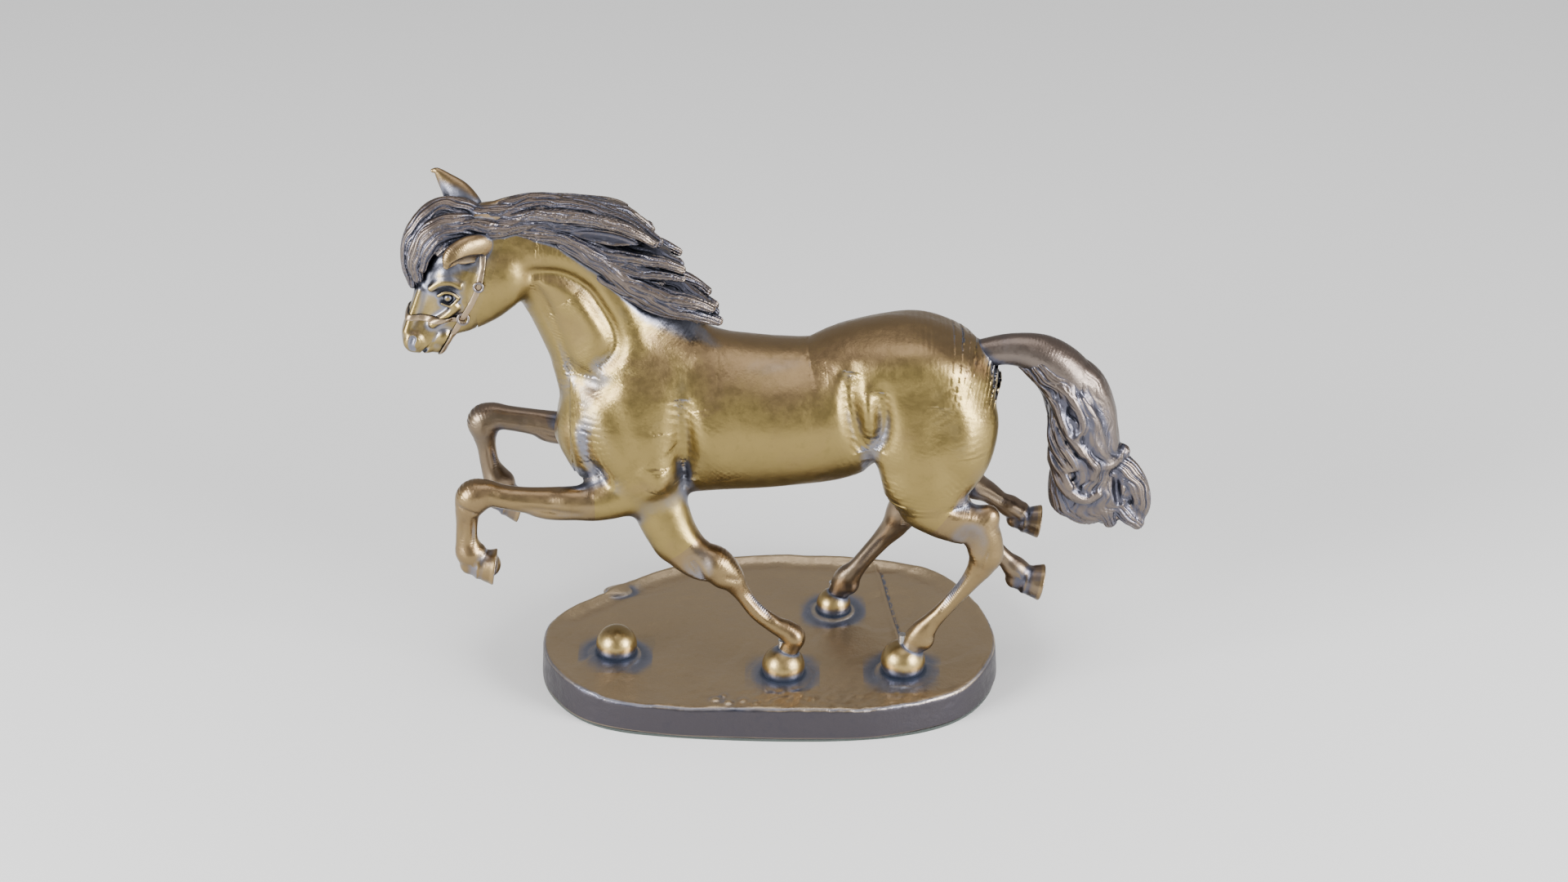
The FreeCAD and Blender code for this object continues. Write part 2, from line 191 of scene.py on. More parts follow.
class Profile(Form):
    """A body drawn from the side.

    Its rows are u, high v, low v, and the half widths at the high side and at the low side.
    """

    def __init__(self, origin, axes, rows, power=2.0):
        self.origin, self.axes, self.power = np.array(origin, np.float32), np.array(axes,
            np.float32), power
        rows = np.asarray(rows, float)
        fine = smooth_rows(np.insert(rows, [1, 1], 0.0, axis=1), 0.8)
        self.u, self.rows = fine[:, 0], fine[:, 3:]
        reach = np.maximum(np.abs(rows[:, 1]), np.abs(rows[:, 2])).max()
        wide = rows[:, 3:].max()
        corners = [self.origin + np.array([u, v, w]) @ self.axes
                   for u in (rows[0, 0], rows[-1, 0]) for v in (rows[:, 2].min(),
                       rows[:, 1].max()) for w in (-wide, wide)]
        self.box(np.array(corners), np.zeros(len(corners)))

    def local(self, p):
        return (p - self.origin) @ self.axes.T

    def __call__(self, p):
        u, v, w = self.local(p).T
        high, low, wide_high, wide_low = (np.interp(u, self.u, self.rows[:, i]) for i in range(4))
        a = np.maximum((high - low) / 2, 0.3)
        rise = (v - (high + low) / 2) / a
        b = np.maximum(wide_low + (wide_high - wide_low) * np.clip(rise + 1, 0, 2) / 2, 0.3)
        past = np.maximum(np.maximum(self.u[0] - u, u - self.u[-1]), 0)
        x, y = np.abs(rise) + 1e-4, np.abs(w / b)
        k = (x**self.power + y**self.power) ** (1 / self.power)
        g = np.sqrt((x / a) ** 2 + (y / b) ** 2) / np.sqrt(x * x + y * y)
        return ((k - 1) / np.maximum(g, 1e-6) + past).astype(np.float32)


class Ball(Form):
    """An oval ball with its own axes."""

    def __init__(self, centre, radii, axes=None):
        self.centre = np.array(centre, np.float32)
        self.radii = np.array(radii, np.float32) * np.ones(3, np.float32)
        self.axes = np.eye(3, dtype=np.float32) if axes is None else np.array(axes, np.float32)
        self.box(self.centre[None], self.radii.max()[None])

    def __call__(self, p):
        q = (p - self.centre) @ self.axes.T / self.radii + 1e-4
        k = np.sqrt((q * q).sum(1))
        return k * (k - 1) / np.sqrt(((q / self.radii) ** 2).sum(1))


class Plane(Form):
    """Everything behind a flat face."""

    def __init__(self, point, normal):
        self.point, self.normal = np.array(point,
                                           np.float32), unit(np.array(normal, float)).astype(np.float32)

    def __call__(self, p):
        return (p - self.point) @ self.normal


class Crease(Form):
    """A soft furrow, or a ridge where the depth is negative, along a line drawn on both flanks."""

    def __init__(self, line, width, depth, inner=4.0, outer=14.0):
        flat = smooth_rows([(x, 0.0, z) for x, z in line], 1.5)
        self.line = flat[:, [0, 2]].astype(np.float32)
        self.width, self.inner, self.outer = width, inner, outer
        n = len(self.line)
        self.depth = (depth * np.sqrt(np.sin(np.pi * (np.arange(n) + 0.5) / n))).astype(np.float32)
        reach = 3 * width
        self.low = np.array([self.line[:, 0].min() - reach, -FAR * 2, self.line[:, 1].min() - reach])
        self.high = np.array([self.line[:, 0].max() + reach, FAR * 2, self.line[:, 1].max() + reach])

    def __call__(self, p):
        q = p[:, [0, 2]]
        square = (self.line**2).sum(1) - 2 * q @ self.line.T
        index = np.argmin(square, axis=1)
        gap = np.maximum(square[np.arange(len(q)), index] + (q**2).sum(1), 0)
        out = p[:, 1] - MID
        weight = np.clip((np.abs(out) - self.inner) / (self.outer - self.inner), 0, 1)
        return self.depth[index] * weight * np.exp(-gap / self.width**2)


def union(f, g, soft):
    h = np.maximum(soft - np.abs(f - g), 0) / soft
    return np.minimum(f, g) - h * h * soft * 0.25


def carve(f, g, soft):
    return -union(-f, g, soft)


def trim(f, g, soft):
    return -union(-f, -g, soft)


def press(f, g, soft):
    return f + g


class Clay(Form):
    """Forms worked together, one after another."""

    def __init__(self, *work):
        self.work = list(work)

    def add(self, form, soft=0.6):
        self.work.append((union, form, soft))
        return self

    def cut(self, form, soft=0.6):
        self.work.append((carve, form, soft))
        return self

    def keep(self, form, soft=0.3):
        self.work.append((trim, form, soft))
        return self

    def mark(self, form):
        self.work.append((press, form, 1.0))
        return self

    def __call__(self, p):
        f = np.full(len(p), FAR, np.float32)
        for act, form, soft in self.work:
            if form.low is None:
                f = act(f, form(p), soft)
                continue
            index = form.near(p)
            if len(index):
                f[index] = act(f[index], form(p[index]), soft)
        return f


# ---- turning a form into a closed mesh -----------------------------------------------------------
CORNERS = np.array([(i, j, k) for i in (0, 1) for j in (0, 1) for k in (0, 1)])
EDGES = [(a, b) for a in range(8) for b in range(a + 1,
    8) if np.abs(CORNERS[a] - CORNERS[b]).sum() == 1]


def sample(field, low, high, cell):
    """The field on a grid, worked out cell by cell only near its surface."""
    counts = np.ceil((np.asarray(high) - low) / (cell * BLOCK)).astype(int) + 1
    grid = [low[i] + cell * (BLOCK * np.arange(counts[i]) + (BLOCK - 1) / 2) for i in range(3)]
    centres = np.stack(np.meshgrid(*grid, indexing="ij"), -1).reshape(-1, 3).astype(np.float32)
    coarse = field(centres).reshape(counts)
    active = np.abs(coarse) < BLOCK * cell * BLOCK_REACH + 1.0
    values = coarse.repeat(BLOCK, 0).repeat(BLOCK, 1).repeat(BLOCK, 2)
    local = np.stack(np.meshgrid(*[np.arange(BLOCK)] * 3, indexing="ij"), -1).reshape(-1, 3)
    index = (np.argwhere(active)[:, None] * BLOCK + local).reshape(-1, 3)
    values[tuple(index.T)] = field((low + index * cell).astype(np.float32))
    for axis in range(3):
        edge = [slice(None)] * 3
        for end in (0, -1):
            edge[axis] = end
            values[tuple(edge)] = FAR
    return values


def net(values, low, cell):
    """A closed mesh of quads round the negative values of a grid."""
    inside = values < 0
    n = np.array(values.shape) - 1
    view = [tuple(slice(o, o + m) for o, m in zip(corner, n)) for corner in CORNERS]
    count = sum(inside[v].astype(np.uint8) for v in view)
    cells = np.argwhere((count > 0) & (count < 8))
    number = np.full(n, -1, np.int64)
    number[tuple(cells.T)] = np.arange(len(cells))
    corner = np.stack([values[tuple((cells + c).T)] for c in CORNERS], 1)
    total, hits = np.zeros((len(cells), 3)), np.zeros(len(cells))
    for a, b in EDGES:
        va, vb = corner[:, a], corner[:, b]
        cross = (va < 0) != (vb < 0)
        t = np.where(cross, va / np.where(cross, va - vb, 1), 0)[:, None]
        total += np.where(cross[:, None], CORNERS[a] + (CORNERS[b] - CORNERS[a]) * t, 0)
        hits += cross
    points = low + cell * (cells + total / hits[:, None])
    quads = []
    for axis in range(3):
        one, two = (axis + 1) % 3, (axis + 2) % 3
        first = [slice(1, -1)] * 3
        second = [slice(1, -1)] * 3
        first[axis], second[axis] = slice(0, -1), slice(1, None)
        a, b = inside[tuple(first)], inside[tuple(second)]
        edge = np.argwhere(a != b)
        outward = a[tuple(edge.T)]
        shift = np.ones(3, int)
        shift[axis] = 0
        edge = edge + shift
        around = []
        for i, j in ((1, 1), (0, 1), (0, 0), (1, 0)):
            back = np.zeros(3, int)
            back[one], back[two] = i, j
            around.append(number[tuple((edge - back).T)])
        quad = np.stack(around, 1)
        quads.append(np.where(outward[:, None], quad, quad[:, ::-1]))
    return points, np.vstack(quads)


def slope(field, p, gap):
    """The field's value and slope at points."""
    value, grade = 0, 0
    for k in ((1, -1, -1), (-1, -1, 1), (-1, 1, -1), (1, 1, 1)):
        f = field((p + gap * np.array(k)).astype(np.float32))
        value, grade = value + f / 4, grade + f[:, None] * np.array(k) / (4 * gap)
    return value, grade


def largest_part(points, quads):
    """Only the largest connected part of a mesh, so that no crumb is left beside it."""
    label = np.arange(len(points))
    while True:
        low = label[quads].min(1)
        new = label.copy()
        np.minimum.at(new, quads.ravel(), np.repeat(low, 4))
        new = new[new]
        if (new == label).all():
            break
        label = new
    keep = label == np.bincount(label[quads[:, 0]]).argmax()
    number = np.cumsum(keep) - 1
    return points[keep], number[quads[keep[quads[:, 0]]]]


def openness(field, p, normal, reach):
    """1 where nothing is near a surface point along its normal, falling to 0 in a deep recess."""
    return np.clip(field((p + normal * reach).astype(np.float32)) / reach, 0, 1)


def cast(name, field, low, high, cell, nodes, slot, material):
    """Models a form as a closed mesh piece that stands for CAD nodes."""
    low, high = np.array(low, float), np.array(high, float)
    points, quads = net(sample(field, low, high, cell), low, cell)
    if not len(points):
        raise RuntimeError(f"{name} came out empty")
    points, quads = largest_part(points, quads)
    for _ in range(SETTLE_ROUNDS):
        value, grade = slope(field, points, SLOPE_GAP * cell)
        push = value / np.maximum((grade**2).sum(1), LEAST_SLOPE)
        points = points - grade * np.clip(push, -LONGEST_PUSH * cell, LONGEST_PUSH * cell)[:, None]
    normal = unit(slope(field, points, NORMAL_GAP * cell)[1])
    mesh = bpy.data.meshes.new(name)
    mesh.vertices.add(len(points))
    mesh.vertices.foreach_set("co", (points * UNIT + (0, 0, GROUND)).astype(np.float32).ravel())
    mesh.loops.add(quads.size)
    mesh.loops.foreach_set("vertex_index", quads.astype(np.int32).ravel())
    mesh.polygons.add(len(quads))
    mesh.polygons.foreach_set("loop_start", np.arange(0, quads.size, 4, dtype=np.int32))
    mesh.polygons.foreach_set("use_smooth", np.ones(len(quads), bool))
    mesh.update(calc_edges=True)
    mesh.validate()
    mesh.normals_split_custom_set_from_vertices(normal.tolist())
    # openness near the surface and further out, for the patina, the deep recesses and the painted shade in
    # broad hollows, and thin edges, for rubbed wear
    wear_and_shade = np.ones((len(points), 4), np.float32)
    wear_and_shade[:, 0] = openness(EVERYTHING, points, normal, NARROW)
    wear_and_shade[:, 1] = openness(EVERYTHING, points, normal, BROAD)
    inner = -field((points - normal * NARROW).astype(np.float32)) / NARROW
    wear_and_shade[:, 2] = np.clip(EDGE_GAIN - EDGE_GAIN * inner, 0, 1)
    layer = mesh.color_attributes.new("wear_and_shade", "FLOAT_COLOR", "POINT")
    layer.data.foreach_set("color", wear_and_shade.ravel())
    mesh.materials.append(material)
    piece = bpy.data.objects.new(name, mesh)
    bpy.context.scene.collection.objects.link(piece)
    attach(piece, "root")
    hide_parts(*nodes)
    print(f"{name}: {len(points)} points")
    return piece


SETTLE_ROUNDS = 2  # how often the mesh points are moved onto the surface
SLOPE_GAP = 0.3  # how far apart the slope is measured, in cells
NORMAL_GAP = 0.35  # the same for the surface normals
LEAST_SLOPE = 0.3  # keeps a nearly flat field from throwing a point far away
LONGEST_PUSH = 0.6  # the furthest that a point moves at once, in cells
EDGE_GAIN = 1.6  # how soon a thin edge counts as rubbed bright
NARROW = 2.6  # how far out a small recess is looked for
BROAD = 11.0  # how far out a large hollow is looked for


class Sunk(Form):
    """A form that sinks past a flat seam and ends a little beyond it.

    Two pieces cut from one form on either side of a seam then meet in one surface.
    """

    def __init__(self, form, seam, past=3.0, drop=0.12):
        self.form, self.seam, self.past, self.drop = form, seam, past, drop
        self.low, self.high = form.low, form.high

    def __call__(self, p):
        over = self.seam(p)
        return np.maximum(self.form(p) + self.drop * np.clip(over, 0, self.past), over - self.past)


class Around(Form):
    """Whichever part of a form lies within a little of another form."""

    def __init__(self, form, guide, reach):
        self.form, self.guide, self.reach = form, guide, reach
        self.low, self.high = guide.low, guide.high

    def __call__(self, p):
        return np.maximum(self.form(p), self.guide(p) - self.reach)


def extent(*forms):
    """A box round several forms."""
    low = np.min([f.low for f in forms], axis=0) + MARGIN - 4
    high = np.max([f.high for f in forms], axis=0) - MARGIN + 4
    return low, high


# ---- the body: rows are x, y, z, half depth and half width ---------------------------------------
BARREL = Tube([
    (-121, -12, 150, 6, 6), (-116, -12, 150, 22, 18), (-100, -12, 153, 38, 30), (-74, -12, 160, 47, 36),
    (-44, -12, 165, 52, 39), (5, -12, 165, 48, 43), (35, -12, 168, 46, 41), (59, -12, 178, 46, 38),
    (84, -12, 182, 46, 39), (104, -12, 181, 41, 38), (116, -12, 178, 35, 33), (124, -12, 176, 29, 27),
    (130, -12, 174, 20, 20), (133, -12, 172, 11, 12), (134.5, -12, 171, 4, 4)])
THIGH = [(110, -25, 194, 24, 13), (106, -32, 177, 34, 20), (100, -39, 157, 36, 21),
         (95, -43, 138, 31, 17), (92, -45, 124, 20, 13), (92, -45, 117, 11, 9)]
FAR_THIGH = [(110, 1, 194, 24, 13), (106, 8, 177, 34, 20), (100, 14, 157, 36, 21),
             (94, 17, 138, 31, 17), (90, 18, 124, 18, 13), (90, 18, 117, 9, 8)]
SHOULDER = [(-66, -27, 210, 14, 8), (-76, -36, 192, 22, 11), (-84, -42, 170, 25, 13),
            (-78, -45, 150, 21, 12), (-68, -45, 138, 15, 11)]
PECTORAL = [(-108, -24, 180, 12, 12), (-112, -26, 162, 15, 15), (-106, -28, 146, 15, 14),
            (-94, -30, 136, 12, 12)]
CROUP = [(52, -27, 203, 10, 10), (72, -30, 205.5, 12.5, 12), (92, -31, 206.5, 14, 13),
         (110, -29, 199, 13, 12), (119, -27, 188, 8, 8)]
TAIL_STUMP = [(106, -12, 195, 9, 9), (116, -12, 200, 8.6, 8.6), (126, -12, 203.5, 7.4, 7.2),
              (136, -12, 206, 5, 5)]
NECK = Tube([
    (-55, -12, 172, 46, 28), (-74, -12, 189, 49, 29), (-88, -12, 208, 44, 26), (-99, -12, 226, 38, 23),
    (-116, -12, 251, 32, 20), (-134, -13, 271, 27, 18), (-153, -14, 282, 23, 16),
    (-166, -15, 286, 19, 15)])
NECK_SEAM = Plane((-92, -12, 214), (-0.55, 0, 0.84))
HEAD_SEAM = Plane((-156, -14, 283), (-0.93, 0, 0.36))

BODY_FURROWS = [
    ([(-52, 192), (-50, 172), (-49, 152), (-50, 134)], 7.0, 5.4),
    ([(-52, 150), (-50, 138), (-52, 126)], 3.4, 2.6),
    ([(-98, 196), (-88, 176), (-82, 160), (-74, 150)], 8.0, 1.6),
    ([(50, 208), (49, 192), (53, 171), (57, 156)], 5.6, 5.0),
    ([(68, 198), (70, 175), (66, 158)], 5.0, 4.0),
    ([(61, 150), (65, 134), (74, 122), (86, 112)], 4.6, 4.2),
    ([(104, 190), (102, 170), (108, 150), (114, 134)], 9.0, 1.6),
    ([(-110, 172), (-107, 152), (-100, 138)], 4.6, 2.2),
    ([(-102, 146), (-95, 131), (-86, 124)], 3.6, 2.6),
    ([(-121, 207), (-110, 201), (-99, 197), (-87, 204)], 6.0, 1.6),
    ([(-76, 152), (-80, 144), (-74, 134)], 4.0, 1.4), ([(-30, 206), (0, 202), (36, 206)], 8.0, 1.4),
    ([(-44, 122), (-10, 119), (24, 127), (48, 140)], 6.0, 1.0)]
BODY_RIDGES = [
    ([(59, 198), (60, 184), (61, 166)], 4.4, 2.6), ([(-64, 150), (-65, 140), (-68, 132)], 7.0, 2.4),
    ([(-40, 186), (-34, 160), (-26, 136)], 9.0, 2.0),
    ([(-112, 186), (-114, 166), (-108, 148)], 7.0, 1.6),
    ([(110, 200), (121, 180), (121, 156)], 10.0, 1.6)]
NECK_FURROWS = [
    ([(-158, 272), (-148, 268), (-124, 267), (-108, 258), (-99, 246), (-91, 231), (-91, 219),
      (-101, 209)], 4.6, 4.0),
    ([(-138, 262), (-129, 242), (-120, 212), (-116, 200)], 4.0, 3.2)]
NECK_RIDGES = [
    ([(-117, 252), (-105, 236), (-103, 222), (-110, 206)], 8.0, 2.4),
    ([(-128, 240), (-123, 218), (-120, 198)], 3.8, 1.8),
    ([(-136, 284), (-114, 281), (-95, 268), (-84, 250), (-77, 229), (-84, 208)], 9.0, 3.0)]


def marked(clay, furrows, ridges, **where):
    for line, width, depth in furrows:
        clay.mark(Crease(line, width, depth, **where))
    for line, width, depth in ridges:
        clay.mark(Crease(line, width, -depth, **where))
    return clay


TRUNK = Clay().add(BARREL)
for rows, soft in ((THIGH, 10), (FAR_THIGH, 10), (SHOULDER, 12), (across(SHOULDER), 12), (PECTORAL, 16),
                   (across(PECTORAL), 16), (CROUP, 9), (across(CROUP), 9)):
    TRUNK.add(Tube(rows), soft)
TRUNK.add(NECK, 13)
TRUNK.add(Tube(TAIL_STUMP), 11)
marked(TRUNK, BODY_FURROWS + NECK_FURROWS, BODY_RIDGES + NECK_RIDGES)

# ---- legs: rows are x, y, z, half depth and half width; the first few rows run inside the body ---
LEGS = {
    "foreleg_near_raised": dict(
        rows=[(-70, -36, 134, 16, 13), (-86, -41, 126, 15.5, 12.5), (-100, -44, 121.5, 13, 11.5),
              (-111, -45, 120, 11.4, 10), (-126, -46, 121, 9.7, 8.6), (-146, -46, 122.5, 8.2, 7.2),
              (-160, -46, 125, 7.4, 7.2), (-170, -46, 127.5, 8.2, 8), (-178.5, -46, 125.5, 9, 8.6),
              (-181, -46, 116, 7.8, 7.4), (-182, -46, 106, 6.6, 5.4), (-182.5, -46, 95, 6.8, 5.4),
              (-181, -46, 86, 8.8, 7.2), (-176.5, -46, 79.5, 7.6, 6.6), (-170, -46, 76.5, 8, 7.4)],
        seam=((-104, -44.5, 121), (-1, 0, 0)), start=3, soft=8,
        balls=[((-176, -46, 124), (9.4, 8.6, 10)), ((-181, -46, 85), (6.6, 7, 7)),
               ((-174, -46, 83), (4, 4.4, 5)),
               ((-128, -46, 116), (16, 7, 6)), ((-118, -49, 123), (12, 6, 7))],
        furrows=[([(-112, 118), (-128, 119), (-148, 121)], 2.2, 1.0),
                 ([(-183, 112), (-185, 96)], 1.6, 0.7),
                 ([(-178, 112), (-179, 94)], 1.4, 0.9), ([(-186, 122), (-176, 117)], 1.6, 0.9)],
        hoof=dict(toe=(-166, -46, 75), way=(0.98, 0, -0.15), radius=11.2, length=12)),
    "foreleg_far_raised": dict(
        rows=[(-76, 8, 142, 16, 13), (-96, 14, 136, 13, 12), (-112, 17, 135, 10.6, 10.4),
              (-126, 19, 136, 9.6, 9), (-146, 20, 139.5, 8.2, 7.4), (-160, 20, 142, 7.8, 7.4),
              (-170, 20, 143.5, 8.4, 8.2), (-176, 20, 140, 9.2, 8.6), (-175, 20, 130, 7.4, 7),
              (-174, 20, 121, 5.9, 5.2), (-172.5, 20, 110, 6.1, 5.2), (-169, 20, 100, 7.9, 7),
              (-164, 20, 91, 7.2, 6.4), (-158, 20, 83, 7.8, 7.2)],
        seam=((-104, 16, 135.4), (-1, 0.1, 0)), start=3, soft=8,
        balls=[((-174, 20, 139), (9.2, 8.4, 9.6)), ((-168, 20, 98), (6.6, 6.8, 7)),
               ((-162, 20, 97), (4, 4.4, 4.6)), ((-128, 20, 131), (15, 7, 6))],
        furrows=[([(-112, 133), (-128, 134), (-148, 138)], 2.2, 1.0),
                 ([(-171, 124), (-169, 108)], 1.4, 0.8)],
        hoof=dict(toe=(-154, 20, 79.5), way=(0.96, 0, -0.28), radius=11.4, length=12)),
    "foreleg_planted": dict(
        rows=[(-72, -30, 132, 18, 14), (-66, -36, 115, 17, 14), (-59, -40, 98, 15.5, 13),
              (-50, -43, 86, 13.6, 11.5), (-41, -46, 80, 12.6, 11), (-31, -47, 76.5, 11.6, 10.4),
              (-23, -48, 69, 8.8, 8.2), (-16, -48, 58, 5.4, 5), (-6, -49, 44.5, 5.6, 4.8),
              (4, -50, 36, 5.6, 5), (12, -50, 31, 6.8, 6.2), (15.5, -50, 25.5, 7, 6.4),
              (13, -50, 18, 6.2, 6), (11, -50, 11, 6.2, 6.2), (9.5, -50, 5, 7, 7)],
        seam=((-52, -42, 88), (0.62, -0.1, -0.78)), start=4, soft=9,
        balls=[((-34, -47, 79), (10, 9.5, 8)), ((-28, -48, 71), (7, 8, 8)),
               ((17, -50, 27), (5, 6.4, 5.4)), ((-60, -42, 92), (9, 8, 13))],
        dents=[((-44, -61, 84), (6, 5, 9))],
        furrows=[([(-46, 84), (-38, 70)], 2.4, 1.2), ([(-14, 60), (2, 41)], 1.8, 1.2),
                 ([(-26, 74), (-18, 70)], 2.0, 1.0)],
        hoof=None),
    "hindleg_near_planted": dict(
        rows=[(92, -44, 134, 22, 14), (96, -45, 124, 18.5, 13), (104, -46, 114, 16, 12),
              (116, -46.5, 108, 14.6, 11), (126, -47, 103, 13, 10), (131, -47, 95, 11.6, 9.4),
              (132.5, -47, 85, 10.6, 8.6), (130, -47, 76, 8.4, 7), (124, -46.5, 66, 6.2, 5.8),
              (111, -46, 48, 5, 4.8), (102, -46, 37, 5.6, 5), (96, -46, 29, 7.6, 6.6),
              (92, -46, 22, 8.2, 7), (87, -46, 14, 6.6, 6.2), (84, -46, 7, 7.2, 7)],
        seam=((104, -46, 111), (0.8, 0, -0.6)), start=3, soft=10,
        balls=[((133, -47, 111), (7.6, 6.4, 8)), ((134, -47, 84), (8, 7.6, 8)),
               ((97, -46, 22), (5, 6, 5)), ((88, -46, 17), (4, 6, 4))],
        dents=[((122, -61, 98), (7, 6, 10))],
        furrows=[([(122, 72), (106, 45)], 1.5, 0.9), ([(110, 122), (122, 118)], 2.6, 1.0),
                 ([(134, 92), (129, 76)], 1.4, 0.8)],
        hoof=None),
    "hindleg_far_planted": dict(
        rows=[(93, 16, 128, 18, 13), (91, 17, 112, 14, 12), (90, 18, 96, 12, 10),
              (86, 19, 80, 10.6, 8.8), (80, 19.5, 66, 8.6, 7.6), (72, 20, 55, 6.4, 5.6),
              (63, 20.5, 43, 5.6, 5), (56, 21, 33, 5.9, 5.2), (51, 22, 26, 8, 6.8),
              (48, 23, 20, 8.2, 6.8), (44.5, 24, 12, 6.6, 6), (42.5, 24, 5, 6.4, 6.2)],
        seam=((90, 17, 106), (-0.05, 0, -1)), start=2, soft=8,
        balls=[((84, 19, 74), (9, 8.4, 9)), ((52, 22, 19), (4.6, 5.6, 4.6))],
        furrows=[([(88, 88), (84, 70)], 2.4, 1.4), ([(72, 58), (58, 38)], 1.5, 0.8)],
        hoof=None),
    "hindleg_near_raised": dict(
        rows=[(104, -20, 138, 14, 12), (109, -18, 118, 12, 10.5), (115, -16, 99, 10.6, 9),
              (124, -15, 87, 8.8, 7.6), (134, -15, 76, 6.6, 5.6), (144, -16, 65.5, 5.4, 4.8),
              (150, -16, 59, 6.2, 5.4), (155, -16, 53.5, 7.6, 6.6), (160, -16, 49, 7.6, 6.8)],
        seam=((112, -17, 108), (0.3, 0, -0.95)), start=2, soft=8,
        balls=[((153, -16, 56), (6, 6.2, 6)), ((118, -15.5, 94), (9, 8.4, 9))],
        furrows=[([(120, 98), (116, 86)], 2.2, 1.2), ([(128, 84), (146, 64)], 1.4, 0.8)],
        hoof=dict(toe=(170, -16, 45), way=(0.98, 0, -0.2), radius=11.4, length=13)),
    "hindleg_far_raised": dict(
        rows=[(104, 14, 130, 15, 12), (112, 15, 114, 13, 11), (121, 16, 102, 11, 9.4),
              (129, 17, 95, 9, 7.8), (137, 18, 90, 7, 6.4), (145, 18, 83.5, 6, 5.4),
              (151, 18, 79.5, 6.4, 5.6), (157, 18, 75.5, 7.4, 6.6)],
        seam=((117, 15.5, 107), (0.75, 0, -0.65)), start=2, soft=8,
        balls=[((151, 18, 80), (6, 6, 6))],
        furrows=[([(126, 100), (122, 90)], 2.2, 1.2), ([(132, 96), (148, 84)], 1.4, 0.7)],
        hoof=dict(toe=(170, 18, 68.5), way=(1, 0, -0.15), radius=10.4, length=12)),
}


def make_hoof(toe, way, radius, length):
    """A hoof that flares to a flat sole, with a coronet roll at its top and a dished sole."""
    toe, way = np.array(toe, float), unit(np.array(way, float))
    deep = unit(np.cross(SIDE, way))
    rows = [tuple(toe + way * s) + (radius * k, radius * k * 0.92)
            for s, k in ((-length * 1.3, 0.6), (-length, 0.66), (-length * 0.6, 0.84),
                         (-length * 0.25, 0.96), (0, 1.04),
                         (length * 0.4, 1.1))]
    shape = Clay().add(Tube(rows, step=1.0))
    shape.add(Ball(toe - way * length * 0.86, (radius * 0.78, radius * 0.74, 2.6), (deep, SIDE, way)),
              2.0)
    shape.keep(Plane(toe, way), 1.0)
    shape.cut(Ball(toe + way * 0.6, (radius * 0.72, radius * 0.66, 3.2), (deep, SIDE, way)), 0.8)
    shape.add(Ball(toe - way * 1.6, (radius * 0.5, radius * 0.16, 1.8), (deep, SIDE, way)), 0.6)
    reach = radius + length
    shape.low, shape.high = toe - reach - MARGIN, toe + reach + MARGIN
    return shape


class Leg:
    """A leg's own forms, and the seam where its casting meets the trunk."""

    def __init__(self, rows, seam, start, soft, balls, furrows, hoof=None, dents=()):
        whole = Clay().add(Tube(rows, step=1.6))
        spine = Tube(rows, step=1.6)
        for centre, radii in balls:
            whole.add(Ball(centre, radii), 4.0)
        for centre, radii in dents:
            whole.cut(Ball(centre, radii), 9.0)
        marked(whole, furrows, [], inner=-1, outer=0)
        if hoof:
            whole.add(make_hoof(**hoof), 1.6)
        whole.low, whole.high = spine.low - 10, spine.high + 10
        self.own, self.seam, self.soft = whole, Plane(*seam), soft
        below = Tube(rows[max(start - 2, 0):], step=1.6)
        self.low, self.high = below.low - 4, below.high + 4
        if hoof:
            toe = np.array(hoof["toe"])
            self.low = np.minimum(self.low, toe - hoof["radius"] * 1.3 - MARGIN)
            self.high = np.maximum(self.high, toe + hoof["radius"] * 1.3 + MARGIN)

    def piece(self):
        back = Plane(self.seam.point, -self.seam.normal)
        joined = Clay().add(TRUNK_BODY).add(self.own, self.soft)
        joined.low = joined.high = None
        shape = Sunk(Around(joined, self.own, 4.0), back)
        shape.low, shape.high = self.low, self.high
        return shape

    def stub(self):
        return Sunk(self.own, self.seam)


class Whole(Form):
    """A form that is worked out everywhere."""

    def __init__(self, form):
        self.form = form

    def __call__(self, p):
        return self.form(p)


TRUNK_BODY = Whole(TRUNK)
LIMBS = {name: Leg(**spec) for name, spec in LEGS.items()}


# ---- the head ------------------------------------------------------------------------------------
# Its rows run from poll to lips: how far along, the forehead line, the jaw line, and the half
# widths at each.
POLL = np.array([-168.0, -15.0, 298.0])
DOWN_FACE = np.array([-0.484, 0.0, -0.875])
TO_FRONT = np.array([-0.875, 0.0, 0.484])
HEAD_LEAN = -0.207  # how far the head turns towards the near side as it goes down
HEAD_AXES = (DOWN_FACE, TO_FRONT, SIDE - HEAD_LEAN * DOWN_FACE)
HEAD_ROWS = [
    (0, 8, -32, 12, 12), (10, 13.5, -40, 13.5, 14), (20, 16.5, -44.5, 15, 16.5),
    (30, 18, -44.6, 15.5, 17.5), (38, 18, -42, 15, 17), (46, 17, -38.6, 13, 15.5),
    (54, 15.4, -33.5, 11, 12.5), (62, 13.2, -27, 10, 9.8), (69, 12.2, -19.6, 9.8, 8.4),
    (75, 11.6, -17.4, 10.2, 8.2), (81, 10.2, -15.6, 10.4, 8), (85.5, 7.4, -11, 9, 6.8),
    (88.5, 3.2, -4, 6, 5), (90, 0, -1, 2.5, 2.5)]


def on_head(down, front, out):
    """A place on the head, by how far down the face, how far forward and how far out to one side."""
    p = POLL + DOWN_FACE * down + TO_FRONT * front
    return p + SIDE * (HEAD_LEAN * down + out)


